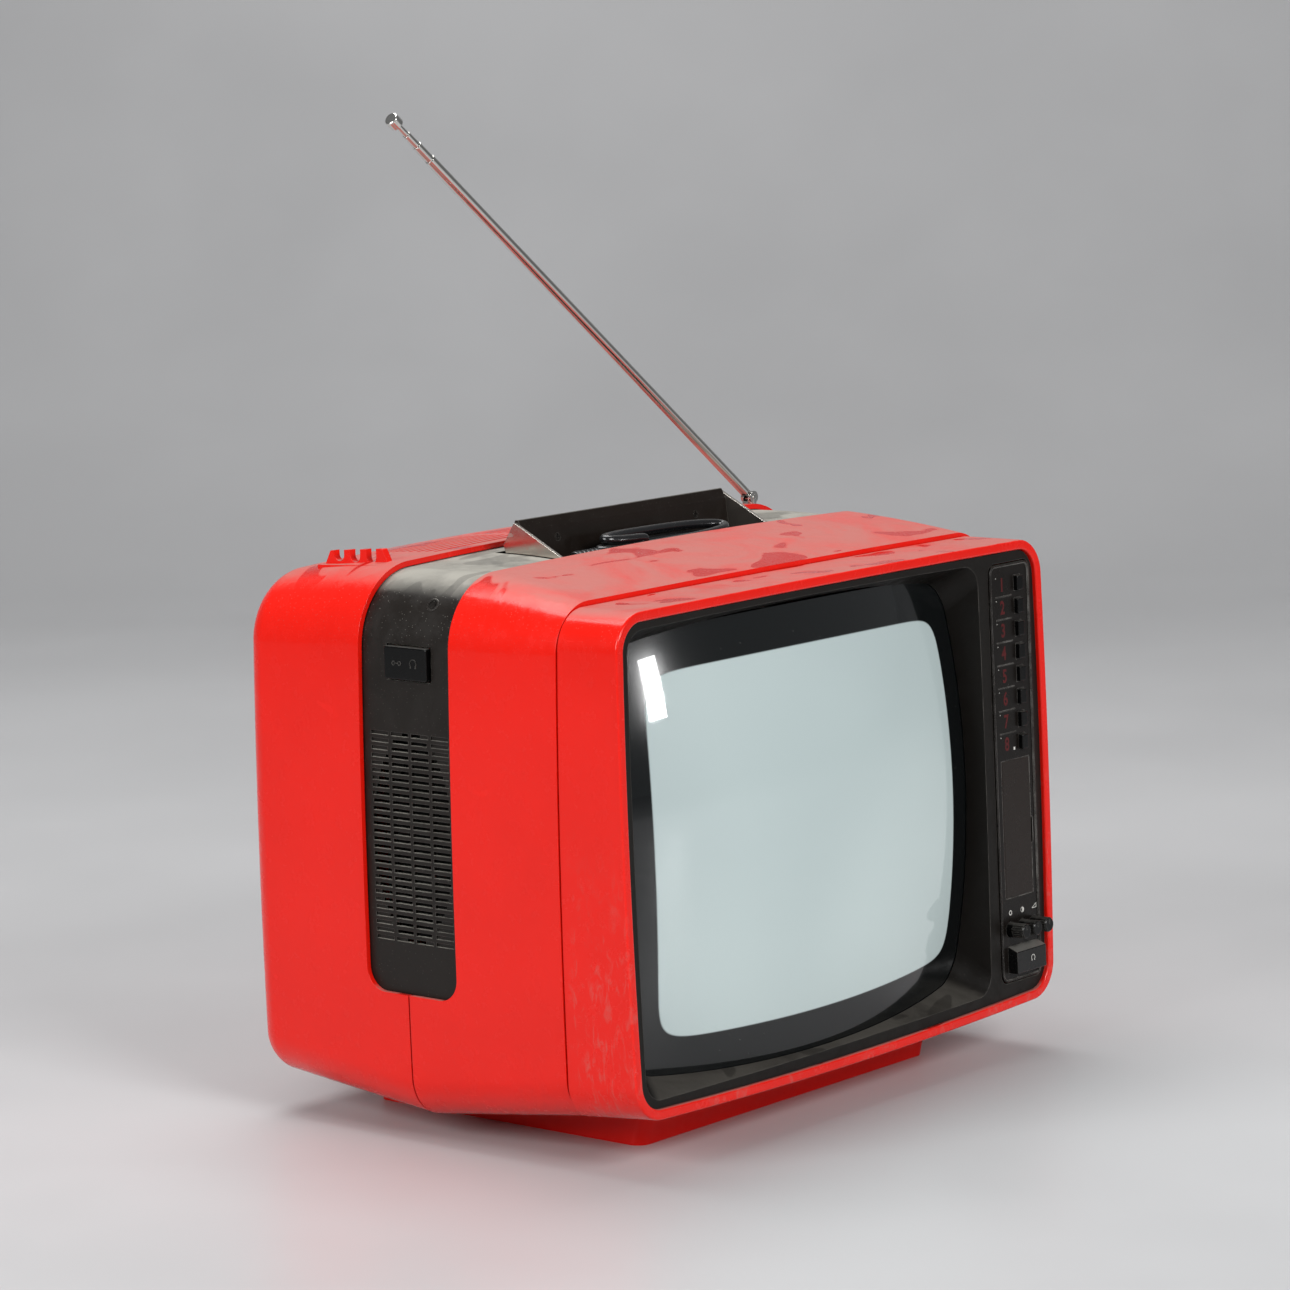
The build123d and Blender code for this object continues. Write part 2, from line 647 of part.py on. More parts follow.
def skirt_block(inset, front, rear):
    """The skirt's outline, drawn in by an inset, as a straight block."""
    section = tube_section(rear, SKIRT[0] - inset, SKIRT[1] - inset, 6, 32 - inset)
    extrude(section, amount=rear - front)


with BuildPart() as skirt_hollow:
    skirt_block(GLASS_WALL, -20.0, SKIRT_REAR)
    with Locations(BALL):
        Sphere(GLASS_RADIUS - GLASS_WALL, mode=Mode.INTERSECT)

with BuildPart() as tube_faceplate:
    skirt_block(0, -20.0, SKIRT_REAR)
    with Locations(BALL):
        Sphere(GLASS_RADIUS, mode=Mode.INTERSECT)
    add(skirt_hollow.part, mode=Mode.SUBTRACT)
save(tube_faceplate, "tube_faceplate")

with BuildPart() as shadow_mask:
    skirt_block(GLASS_WALL + 2, -20.0, SKIRT_REAR - 24)
    with Locations(BALL):
        Sphere(GLASS_RADIUS - GLASS_WALL - 12, mode=Mode.INTERSECT)
    with Locations(BALL):
        Sphere(GLASS_RADIUS - GLASS_WALL - 13.5, mode=Mode.SUBTRACT)
save(shadow_mask, "shadow_mask")

# depth, half-width, half-height, bow and corner radius of the funnel's sections
FUNNEL = (
    (SKIRT_REAR + 0.1, 178.0, 139.0, 6.0, 32.0),
    (125.0, 124.0, 98.0, 4.0, 40.0),
    (180.0, 66.0, 56.0, 2.0, 40.0),
    (228.0, 17.0, 17.0, 0.3, 16.0),
)
FUNNEL_WALL = 4.0
NECK_START = 226.0

with BuildPart() as tube_funnel:
    loft([tube_section(*row) for row in FUNNEL], ruled=True)
    with BuildSketch(face_plane(NECK_START)):
        with Locations((TUBE_X, TUBE_HEIGHT)):
            Circle(NECK_RADIUS)
    extrude(amount=-(NECK_END - NECK_START))
    loft(
        [
            tube_section(d - 0.5, w - FUNNEL_WALL, t - FUNNEL_WALL, bow, r - FUNNEL_WALL)
            for d, w, t, bow, r in FUNNEL
        ],
        ruled=True,
        mode=Mode.SUBTRACT,
    )
    with BuildSketch(face_plane(NECK_START - 2)):
        with Locations((TUBE_X, TUBE_HEIGHT)):
            Circle(NECK_RADIUS - 2)
    extrude(amount=-(NECK_END - NECK_START + 4), mode=Mode.SUBTRACT)
save(tube_funnel, "tube_funnel")

with BuildPart() as electron_gun:
    with BuildSketch(face_plane(262)):
        with Locations((TUBE_X, TUBE_HEIGHT)):
            Circle(9)
    extrude(amount=-(NECK_END + 1 - 262))
    with BuildSketch(face_plane(NECK_END + 0.1)):
        with Locations((TUBE_X, TUBE_HEIGHT)):
            Circle(NECK_RADIUS)
    extrude(amount=-4)
    with BuildSketch(face_plane(NECK_END + 0.1)):
        with Locations((TUBE_X, TUBE_HEIGHT)):
            with PolarLocations(7, 9):
                Circle(0.6)
    extrude(amount=-12)
    for ring in range(5):
        with BuildSketch(face_plane(266 + ring * 14)):
            with Locations((TUBE_X, TUBE_HEIGHT)):
                Circle(11)
        extrude(amount=-5)
save(electron_gun, "electron_gun")

with BuildPart() as deflection_yoke:
    for start, length, outer in ((230.0, 6.0, 46.0), (236.0, 34.0, 38.0), (270.0, 4.0, 30.0)):
        with BuildSketch(face_plane(start)):
            with Locations((TUBE_X, TUBE_HEIGHT)):
                Circle(outer)
        extrude(amount=-length)
    with BuildSketch(face_plane(228)):
        with Locations((TUBE_X, TUBE_HEIGHT)):
            Circle(NECK_RADIUS + 1)
    extrude(amount=-60, mode=Mode.SUBTRACT)
save(deflection_yoke, "deflection_yoke")

with BuildPart() as neck_board:
    with BuildSketch(face_plane(NECK_END + 6)):
        with Locations((TUBE_X, TUBE_HEIGHT - 6)):
            RectangleRounded(74, 66, 4)
    extrude(amount=-1.6)
    with BuildSketch(face_plane(NECK_END + 7.6)):
        with Locations((TUBE_X, TUBE_HEIGHT)):
            Circle(13)
    extrude(amount=-7)
    with BuildSketch(face_plane(NECK_END + 4)):
        with Locations((TUBE_X, TUBE_HEIGHT)):
            with PolarLocations(7, 9):
                Circle(0.8)
    extrude(amount=-30, mode=Mode.SUBTRACT)
save(neck_board, "neck_board")

DEGAUSS_DEPTH = 74.0
with BuildPart() as degaussing_coil:
    coil = tube_section(DEGAUSS_DEPTH + 8, 187, 147, 6, 40)
    extrude(coil, amount=8)
    fillet(edges(), 2.4)
    coil_hole = tube_section(DEGAUSS_DEPTH + 10, 179.5, 139.5, 6, 33)
    extrude(coil_hole, amount=12, mode=Mode.SUBTRACT)
save(degaussing_coil, "degaussing_coil")

# ---- the steel band that holds the tube, its lugs and screws ----
LUG_THICK, LUG_RADIUS = 2.5, 4.0
LUG_REACH = 0.14            # share of the way to the tube's middle
CLAMP_WIDE = 14.0
with BuildPart() as tube_clamp:
    clamp = tube_section(POST_REAR + GAP + CLAMP_WIDE, SKIRT[0] + 2.2, SKIRT[1] + 2.2, 6, 34)
    extrude(clamp, amount=CLAMP_WIDE)
    with BuildSketch(face_plane(POST_REAR + GAP)):
        for x, height in POST_SPOTS:
            across, up = (TUBE_X - x) * LUG_REACH, (TUBE_HEIGHT - height) * LUG_REACH
            with Locations((x, height)):
                Circle(LUG_RADIUS)
            with Locations((x + across / 2, height + up / 2)):
                SlotCenterToCenter(
                    (across**2 + up**2) ** 0.5, 2 * LUG_RADIUS, rotation=degrees(atan2(up, across))
                )
    extrude(amount=-LUG_THICK)
    clamp_hole = tube_section(POST_REAR + 30, SKIRT[0] + 0.2, SKIRT[1] + 0.2, 6, 32)
    extrude(clamp_hole, amount=40, mode=Mode.SUBTRACT)
    with BuildSketch(face_plane(POST_REAR - 5)):
        with Locations(*POST_SPOTS):
            Circle(SCREW_RADIUS + 0.3)
    extrude(amount=-20, mode=Mode.SUBTRACT)
save(tube_clamp, "tube_clamp")

with BuildPart() as tube_screws:
    lug_rear = POST_REAR + GAP + LUG_THICK
    with BuildSketch(face_plane(lug_rear)):
        with Locations(*POST_SPOTS):
            RegularPolygon(3.6, 6)
    extrude(amount=-3.2)
    with BuildSketch(face_plane(lug_rear)):
        with Locations(*POST_SPOTS):
            Circle(SCREW_RADIUS - 0.05)
    extrude(amount=lug_rear - POST_FRONT - 4)
save(tube_screws, "tube_screws")


# ---- screen mask: flat border, hollow that leads in to the glass, opening for the controls ----
MASK_OPENING = (-28.7, 183.7, 11.0, 303.0)      # middle, half-width, foot and top at the front
MASK_THROAT = (-25.7, 170.5, 24.8, 286.8)       # the same at the glass
THROAT_DEPTH = 34.0
MASK_WALL = 2.5


def hollow_section(depth, row, bow, radius, grow):
    middle, half, foot, top = row
    with BuildSketch(face_plane(depth)) as section:
        bows = (bow, bow, bow)
        bowed_outline(half + grow, foot - grow, top + grow, bows, radius + grow, radius + grow, middle)
    return section.sketch.face()


with BuildPart() as mask_hollow:
    hollow = [
        hollow_section(MASK_DEPTH - 0.01, MASK_OPENING, 2, 15, 0),
        hollow_section(THROAT_DEPTH + 1, MASK_THROAT, 6, 27, 0),
    ]
    loft(hollow, ruled=True)

with BuildPart() as glass_clearance:
    skirt_block(-1.0, -20.0, SKIRT_REAR)
    with Locations(BALL):
        Sphere(GLASS_RADIUS + 0.4, mode=Mode.INTERSECT)

with BuildPart() as screen_mask:
    with BuildSketch(face_plane(MASK_DEPTH)):
        frame_outline(MASK_DEPTH + 1, RIM_WIDTH + 0.4)
    extrude(amount=-PLATE)
    walls = [
        hollow_section(MASK_DEPTH + 0.5, MASK_OPENING, 2, 15, MASK_WALL),
        hollow_section(THROAT_DEPTH, MASK_THROAT, 6, 27, MASK_WALL),
    ]
    loft(walls, ruled=True)
    add(mask_hollow.part, mode=Mode.SUBTRACT)
    add(glass_clearance.part, mode=Mode.SUBTRACT)
    with BuildSketch(face_plane(MASK_DEPTH)):
        with Locations(((PANEL_LEFT + PANEL_RIGHT) / 2, (PANEL_FOOT + PANEL_TOP) / 2)):
            RectangleRounded(PANEL_RIGHT - PANEL_LEFT + 2, PANEL_TOP - PANEL_FOOT + 2, 7)
    extrude(amount=-PLATE - 1, mode=Mode.SUBTRACT)
save(screen_mask, "screen_mask")


# ---- control panel: raised edge, eight key windows, door recess, knob holes, power window ----
KEY_HEIGHTS = [KEY_TOP - i * KEY_PITCH for i in range(KEY_COUNT)]
KEY_SPOTS = [(KEY_X, height) for height in KEY_HEIGHTS]
PANEL_MIDDLE = ((PANEL_LEFT + PANEL_RIGHT) / 2, (PANEL_FOOT + PANEL_TOP) / 2)
PANEL_SIZE = (PANEL_RIGHT - PANEL_LEFT, PANEL_TOP - PANEL_FOOT)
DOOR_THICK = 1.8
DOOR_MIDDLE = ((DOOR_LEFT + DOOR_RIGHT) / 2, (DOOR_FOOT + DOOR_TOP) / 2)
DOOR_SIZE = (DOOR_RIGHT - DOOR_LEFT, DOOR_TOP - DOOR_FOOT)
HINGE_X, HINGE_DEPTH, HINGE_RADIUS, DOOR_PIN = DOOR_LEFT + 1.6, MASK_DEPTH + 1.4, 1.4, 0.7
# the door's axis: local z runs up the leaning face
DOOR_AXIS = Plane(
    origin=FRONT.from_local_coords((HINGE_X, 0, -HINGE_DEPTH)), x_dir=(1, 0, 0), z_dir=FRONT.y_dir
)

with BuildPart() as control_panel:
    with BuildSketch(face_plane(MASK_DEPTH - 1)):
        with Locations(PANEL_MIDDLE):
            RectangleRounded(*PANEL_SIZE, 6)
    extrude(amount=-PLATE - 1)
    fillet(faces().sort_by(Axis.Y)[0].edges(), 0.6)
    with BuildSketch(face_plane(MASK_DEPTH - 1)):
        with Locations(PANEL_MIDDLE):
            RectangleRounded(PANEL_SIZE[0] - 3, PANEL_SIZE[1] - 3, 4.6)
    extrude(amount=-1, mode=Mode.SUBTRACT)
    # the preset bay behind the door is a pocket with its own back wall
    with BuildSketch(face_plane(MASK_DEPTH + 1)):
        with Locations(DOOR_MIDDLE):
            Rectangle(DOOR_SIZE[0] + 6, DOOR_SIZE[1] + 5.6)
    extrude(amount=-11)
    with BuildSketch(face_plane(MASK_DEPTH)):
        with Locations(DOOR_MIDDLE):
            Rectangle(DOOR_SIZE[0] + 0.6, DOOR_SIZE[1] + 0.6)
        with Locations((DOOR_RIGHT + 0.6, DOOR_MIDDLE[1] - 4)):
            SlotOverall(18, 3, rotation=90)
    extrude(amount=-10.5, mode=Mode.SUBTRACT)
    # windows for the keys, knobs, power button and the presets' spindles
    with BuildSketch(face_plane(MASK_DEPTH - 1)):
        with Locations(*KEY_SPOTS):
            Rectangle(KEY_WIDTH + 2 * SIDE_GAP, KEY_HEIGHT + 2 * SIDE_GAP)
        with Locations(*[(x, KNOB_HEIGHT) for x in KNOB_XS]):
            Circle(KNOB_RADIUS + SIDE_GAP)
        with Locations((POWER_X, (POWER_FOOT + POWER_TOP) / 2)):
            Rectangle(POWER_WIDTH + 2 * SIDE_GAP, POWER_TOP - POWER_FOOT + 2 * SIDE_GAP)
    extrude(amount=-8, mode=Mode.SUBTRACT)
    # divider ribs between the key cells
    with BuildSketch(face_plane(MASK_DEPTH)):
        with Locations(*[((PANEL_LEFT + KEY_X) / 2, h - KEY_PITCH / 2) for h in KEY_HEIGHTS[:-1]]):
            Rectangle(KEY_X - PANEL_LEFT - 14, 0.5)
    extrude(amount=0.35)
    # bearing holes for the door's pin
    with BuildSketch(DOOR_AXIS.offset(DOOR_FOOT - 2)):
        Circle(DOOR_PIN)
    extrude(amount=DOOR_SIZE[1] + 4, mode=Mode.SUBTRACT)
save(control_panel, "control_panel")


# ---- tuning door, its pin and the preset spindles behind it ----
with BuildPart() as tuning_door:
    with BuildSketch(face_plane(MASK_DEPTH)):
        with Locations(((HINGE_X + DOOR_RIGHT) / 2, DOOR_MIDDLE[1])):
            Rectangle(DOOR_RIGHT - HINGE_X, DOOR_SIZE[1])
    extrude(amount=-DOOR_THICK)
    with BuildSketch(DOOR_AXIS.offset(DOOR_FOOT)):
        Circle(HINGE_RADIUS)
    extrude(amount=DOOR_SIZE[1])
    with BuildSketch(DOOR_AXIS.offset(DOOR_FOOT - 1)):
        Circle(DOOR_PIN + RUNNING)
    extrude(amount=DOOR_SIZE[1] + 2, mode=Mode.SUBTRACT)
save(tuning_door, "tuning_door")

with BuildPart() as door_pin:
    with BuildSketch(DOOR_AXIS.offset(DOOR_FOOT - 1.8)):
        Circle(DOOR_PIN)
    extrude(amount=DOOR_SIZE[1] + 3.6)
save(door_pin, "door_pin")

PRESET_HEIGHTS = [DOOR_FOOT + 6.5 + i * 11.5 for i in range(8)]
PRESET_X = DOOR_MIDDLE[0] + 3
with BuildPart() as tuning_presets:
    with BuildSketch(face_plane(MASK_DEPTH + 4.5)):
        with Locations(*[(PRESET_X, height) for height in PRESET_HEIGHTS]):
            Circle(3.8)
            Rectangle(5, 0.9, mode=Mode.SUBTRACT)
    extrude(amount=-5.9)
save(tuning_presets, "tuning_presets")


# ---- programme keys and power button: each has a flange behind the panel and a stem ----
FLANGE_DEPTH, FLANGE_THICK = MASK_DEPTH + PLATE + 0.2, 1.2
STEM_END = MASK_DEPTH + 9.0

for number, (x, height) in enumerate(KEY_SPOTS, start=1):
    with BuildPart() as key:
        with BuildSketch(face_plane(MASK_DEPTH - KEY_PROUD)):
            with Locations((x, height)):
                RectangleRounded(KEY_WIDTH, KEY_HEIGHT, 0.8)
        extrude(amount=-(FLANGE_DEPTH + FLANGE_THICK - MASK_DEPTH + KEY_PROUD))
        fillet(faces().sort_by(Axis.Y)[0].edges(), 0.7)
        with BuildSketch(face_plane(FLANGE_DEPTH)):
            with Locations((x, height)):
                Rectangle(KEY_WIDTH + 2.4, KEY_HEIGHT + 2)
        extrude(amount=-FLANGE_THICK)
        with BuildSketch(face_plane(FLANGE_DEPTH)):
            with Locations((x, height)):
                Rectangle(4, 4)
        extrude(amount=-(STEM_END - FLANGE_DEPTH))
    save(key, f"key_{number}")

POWER_BACK = FLANGE_DEPTH + FLANGE_THICK
with BuildPart() as power_button:
    # seen from the side: an upright front with a slope above it; local x is depth, local y height
    side = Plane(
        origin=FRONT.from_local_coords((POWER_X - POWER_WIDTH / 2, 0, 0)), x_dir=-FRONT.z_dir, z_dir=(1, 0, 0)
    )
    with BuildSketch(side):
        with BuildLine():
            Polyline(
                (MASK_DEPTH - POWER_PROUD, POWER_FOOT),
                (MASK_DEPTH - POWER_PROUD, POWER_TOP - 3),
                (MASK_DEPTH - 0.5, POWER_TOP),
                (POWER_BACK, POWER_TOP),
                (POWER_BACK, POWER_FOOT),
                close=True,
            )
        make_face()
        fillet(vertices().sort_by(Axis.X)[:2], 0.7)
    extrude(amount=POWER_WIDTH)
    power_middle = (POWER_X, (POWER_FOOT + POWER_TOP) / 2)
    with BuildSketch(face_plane(FLANGE_DEPTH)):
        with Locations(power_middle):
            Rectangle(POWER_WIDTH + 2.4, POWER_TOP - POWER_FOOT + 2)
    extrude(amount=-FLANGE_THICK)
    with BuildSketch(face_plane(FLANGE_DEPTH)):
        with Locations(power_middle):
            Rectangle(4, 4)
    extrude(amount=-(STEM_END - FLANGE_DEPTH))
save(power_button, "power_button")


# ---- knobs on their shafts, and the potentiometers ----
SHAFT_RADIUS, POT_FRONT, POT_DEPTH, POT_RADIUS = 2.0, 12.0, 10.0, 6.0
KNOB_NAMES = ("knob_brightness", "knob_contrast", "knob_volume")

for x, name in zip(KNOB_XS, KNOB_NAMES, strict=True):
    with BuildPart() as knob:
        with BuildSketch(face_plane(MASK_DEPTH - KNOB_PROUD)):
            with Locations((x, KNOB_HEIGHT)):
                Circle(KNOB_RADIUS)
        extrude(amount=-(KNOB_PROUD + 6))
        chamfer(edges().filter_by(GeomType.CIRCLE).sort_by(Axis.Y)[0], 0.8)
        # grip flutes round the front two thirds
        with BuildSketch(face_plane(MASK_DEPTH - KNOB_PROUD)):
            with Locations((x, KNOB_HEIGHT)):
                with PolarLocations(KNOB_RADIUS + 0.15, 20):
                    Circle(0.4)
        extrude(amount=-9, mode=Mode.SUBTRACT)
        # pointer notch on the end
        with BuildSketch(face_plane(MASK_DEPTH - KNOB_PROUD)):
            with Locations((x, KNOB_HEIGHT + 2.2)):
                SlotOverall(2.6, 0.8, rotation=90)
        extrude(amount=-0.6, mode=Mode.SUBTRACT)
        with BuildSketch(face_plane(MASK_DEPTH)):
            with Locations((x, KNOB_HEIGHT)):
                Circle(SHAFT_RADIUS)
        extrude(amount=-(POT_FRONT + POT_DEPTH - 4 - MASK_DEPTH))
    save(knob, name)

with BuildPart() as potentiometers:
    with BuildSketch(face_plane(POT_FRONT)):
        with Locations(*[(x, KNOB_HEIGHT) for x in KNOB_XS]):
            Circle(POT_RADIUS)
            Circle(SHAFT_RADIUS + RUNNING, mode=Mode.SUBTRACT)
    extrude(amount=-POT_DEPTH)
    with BuildSketch(face_plane(POT_FRONT + POT_DEPTH)):
        with Locations(*[(x, KNOB_HEIGHT) for x in KNOB_XS]):
            Circle(POT_RADIUS)
    extrude(amount=-1.5)
save(potentiometers, "potentiometers")

with BuildPart() as mains_switch:
    with BuildSketch(face_plane(STEM_END + 4)):
        with Locations((POWER_X, POWER_FOOT + 5.5)):
            RectangleRounded(24, 16, 2)
    extrude(amount=-26)
    with BuildSketch(face_plane(STEM_END + 30)):
        with Locations((POWER_X - 6, POWER_FOOT + 5.5), (POWER_X + 6, POWER_FOOT + 5.5)):
            Rectangle(5, 0.8)
    extrude(amount=-7)
save(mains_switch, "mains_switch")

KEY_BOARD_DEPTH = 22.0
with BuildPart() as key_board:
    with BuildSketch(face_plane(KEY_BOARD_DEPTH)):
        with Locations((KEY_X - 5, (KEY_HEIGHTS[0] + KEY_HEIGHTS[-1]) / 2)):
            RectangleRounded(36, KEY_HEIGHTS[0] - KEY_HEIGHTS[-1] + 16, 2)
    extrude(amount=-1.6)
    with BuildSketch(face_plane(STEM_END + 4)):
        with Locations(*KEY_SPOTS):
            Rectangle(7, 7)
    extrude(amount=-(KEY_BOARD_DEPTH - STEM_END - 4))
save(key_board, "key_board")


# ---- telescopic antenna ----
LEVEL, RISE = cos(radians(ANTENNA_RISE)), sin(radians(ANTENNA_RISE))
ROD = Plane(
    origin=at(ANTENNA_X, ANTENNA_DEPTH, ANTENNA_HEIGHT), x_dir=(0, 1, 0), z_dir=(-LEVEL, 0, RISE)
)
BUSH_TOP = ANTENNA_BOSS_TOP + 1.6
CHEEK_GAP, CHEEK_THICK, CHEEK_RADIUS = 4.2, 2.2, 4.4
TONGUE, ANTENNA_PIN = 4.0, 1.5
TUBE_START, TUBE_END = 9.0, 411.0
OUTER_RADIUS, OUTER_BORE = 3.5, 3.1
# inner sections: start, end, radius, bore
SECTIONS = ((42.0, 426.0, 3.05, 2.6), (62.0, 438.0, 2.55, 2.1), (74.0, 449.0, 2.05, 0.0))
TIP_RADIUS, TIP_LONG = 4.7, 7.0

with BuildPart() as antenna_base:
    with BuildSketch(top_plane(ANTENNA_BOSS_TOP)):
        with Locations((ANTENNA_X, ANTENNA_DEPTH)):
            Circle(ANTENNA_SEAT - 0.4)
    extrude(amount=BUSH_TOP - ANTENNA_BOSS_TOP)
    chamfer(edges().filter_by(GeomType.CIRCLE).sort_by(Axis.Z)[-1], 0.6)
    with BuildSketch(top_plane(ANTENNA_BOSS_TOP)):
        with Locations((ANTENNA_X, ANTENNA_DEPTH)):
            Circle(ANTENNA_BORE - 0.1)
    extrude(amount=-16)
    with BuildSketch(top_plane(BUSH_TOP)):
        with Locations((ANTENNA_X, ANTENNA_DEPTH)):
            Circle(ANTENNA_SPIGOT + RUNNING)
    extrude(amount=-17, mode=Mode.SUBTRACT)
save(antenna_base, "antenna_base")

with BuildPart() as antenna_knuckle:
    with BuildSketch(top_plane(BUSH_TOP + 0.2)):
        with Locations((ANTENNA_X, ANTENNA_DEPTH)):
            Circle(5)
    extrude(amount=ANTENNA_HEIGHT - BUSH_TOP - 0.2)
    across = Plane(origin=at(ANTENNA_X, ANTENNA_DEPTH, ANTENNA_HEIGHT), x_dir=(1, 0, 0), z_dir=(0, 1, 0))
    for start in (-CHEEK_GAP / 2 - CHEEK_THICK, CHEEK_GAP / 2):
        with BuildSketch(across.offset(start)):
            Circle(CHEEK_RADIUS)
        extrude(amount=CHEEK_THICK)
    with BuildSketch(across.offset(-CHEEK_GAP / 2)):
        with Locations((0, 2)):
            Rectangle(14, 16)
    extrude(amount=CHEEK_GAP, mode=Mode.SUBTRACT)
    with BuildSketch(across.offset(-9)):
        Circle(ANTENNA_PIN)
    extrude(amount=18, mode=Mode.SUBTRACT)
    with BuildSketch(top_plane(BUSH_TOP + 0.2)):
        with Locations((ANTENNA_X, ANTENNA_DEPTH)):
            Circle(ANTENNA_SPIGOT)
    extrude(amount=-15)
save(antenna_knuckle, "antenna_knuckle")

with BuildPart() as antenna_pin:
    with BuildSketch(across.offset(-CHEEK_GAP / 2 - CHEEK_THICK - 0.5)):
        Circle(ANTENNA_PIN)
    extrude(amount=CHEEK_GAP + 2 * CHEEK_THICK + 1)
save(antenna_pin, "antenna_pin")

with BuildPart() as antenna_tube_1:
    with BuildSketch(across.offset(-TONGUE / 2)):
        Circle(3.4)
    extrude(amount=TONGUE)
    with BuildSketch(ROD):
        Rectangle(TONGUE, 5)
    extrude(amount=TUBE_START)
    with BuildSketch(ROD.offset(TUBE_START - 2)):
        Circle(OUTER_RADIUS)
    extrude(amount=TUBE_END - TUBE_START + 2)
    with BuildSketch(ROD.offset(TUBE_START + 10)):
        Circle(OUTER_BORE)
    extrude(amount=TUBE_END, mode=Mode.SUBTRACT)
    with BuildSketch(across.offset(-9)):
        Circle(ANTENNA_PIN + RUNNING)
    extrude(amount=18, mode=Mode.SUBTRACT)
save(antenna_tube_1, "antenna_tube_1")

for number, (start, end, radius, bore) in enumerate(SECTIONS, start=2):
    with BuildPart() as section_tube:
        with BuildSketch(ROD.offset(start)):
            Circle(radius)
            if bore:
                Circle(bore, mode=Mode.SUBTRACT)
        extrude(amount=end - start)
        if not bore:
            # the innermost section is a rod that carries the tip
            with BuildSketch(ROD.offset(end)):
                Circle(TIP_RADIUS)
            extrude(amount=TIP_LONG)
            fillet(edges().filter_by(GeomType.CIRCLE).group_by(Axis.Z)[-1], 1.2)
    save(section_tube, f"antenna_tube_{number}")


# ---- socket cover and the sockets behind it ----
COVER_FACE, COVER_BACK, COVER_STEM = -228.2, -221.0, 2.5
with BuildPart() as jack_cover:
    with BuildSketch(side_plane(COVER_FACE)):
        with Locations((JACK_DEPTH, JACK_HEIGHT)):
            RectangleRounded(JACK_WIDE, JACK_TALL, 1.5)
    extrude(amount=COVER_BACK - COVER_FACE)
    fillet(faces().sort_by(Axis.X)[0].edges(), 0.9)
    # a stem that holds the cover captive in the socket block
    with BuildSketch(side_plane(COVER_BACK)):
        with Locations((JACK_DEPTH, JACK_HEIGHT)):
            Circle(COVER_STEM)
    extrude(amount=14)
save(jack_cover, "jack_cover")

with BuildPart() as socket_block:
    with BuildSketch(side_plane(-218)):
        with Locations((JACK_DEPTH, JACK_HEIGHT)):
            RectangleRounded(48, 22, 2)
            for offset_depth in (-12, 12):
                with Locations((offset_depth, 0)):
                    Circle(3.2, mode=Mode.SUBTRACT)
            Circle(COVER_STEM + RUNNING, mode=Mode.SUBTRACT)
    extrude(amount=20)
save(socket_block, "socket_block")


# ---- loudspeaker behind the left grille, and its screws ----
SPEAKER_MIDDLE = (180.5, 161.0)
with BuildPart() as loudspeaker:
    with BuildSketch(side_plane(SPEAKER_SEAT)):
        with Locations(SPEAKER_MIDDLE):
            RectangleRounded(66, 138, 10)
    extrude(amount=1.6)
    for start, length, across_r, up_r in ((0.5, 12, 29, 58), (12, 8, 22, 40)):
        with BuildSketch(side_plane(SPEAKER_SEAT + start)):
            with Locations(SPEAKER_MIDDLE):
                Ellipse(across_r, up_r)
        extrude(amount=length)
    with BuildSketch(side_plane(SPEAKER_SEAT + 20)):
        with Locations(SPEAKER_MIDDLE):
            Circle(21)
    extrude(amount=13)
    # the cone, open to the grille
    with BuildSketch(side_plane(SPEAKER_SEAT)) as cone_rim:
        with Locations(SPEAKER_MIDDLE):
            Ellipse(27, 56)
    with BuildSketch(side_plane(SPEAKER_SEAT + 17)) as cone_foot:
        with Locations(SPEAKER_MIDDLE):
            Ellipse(9, 12)
    loft([cone_rim.sketch.face(), cone_foot.sketch.face()], mode=Mode.SUBTRACT)
    with BuildSketch(side_plane(SPEAKER_SEAT)):
        with Locations(*SPEAKER_SCREWS):
            Circle(1.5)
    extrude(amount=3, mode=Mode.SUBTRACT)
save(loudspeaker, "loudspeaker")

with BuildPart() as speaker_screws:
    with BuildSketch(side_plane(SPEAKER_SEAT + 1.6)):
        with Locations(*SPEAKER_SCREWS):
            Circle(2.6)
    extrude(amount=1.8)
    with BuildSketch(side_plane(SPEAKER_SEAT + 1.6)):
        with Locations(*SPEAKER_SCREWS):
            Circle(1.15)
    extrude(amount=-8)
save(speaker_screws, "speaker_screws")


# ---- chassis ----
BOARD_HEIGHT, BOARD_THICK = 16.0, 1.6
BOARD_WIDE, BOARD_DEEP, BOARD_MIDDLE = 330.0, 112.0, (0, 247)
with BuildPart() as chassis_frame:
    with BuildSketch(top_plane(0)):
        with Locations(BOARD_MIDDLE):
            Rectangle(BOARD_WIDE, BOARD_DEEP)
            Rectangle(BOARD_WIDE - 40, BOARD_DEEP - 32, mode=Mode.SUBTRACT)
    extrude(amount=1.5)
    for x in (-165.0, 163.5):
        with BuildSketch(top_plane(0)):
            with Locations((x + 0.75, BOARD_MIDDLE[1])):
                Rectangle(1.5, BOARD_DEEP)
        extrude(amount=BOARD_HEIGHT)
save(chassis_frame, "chassis_frame")

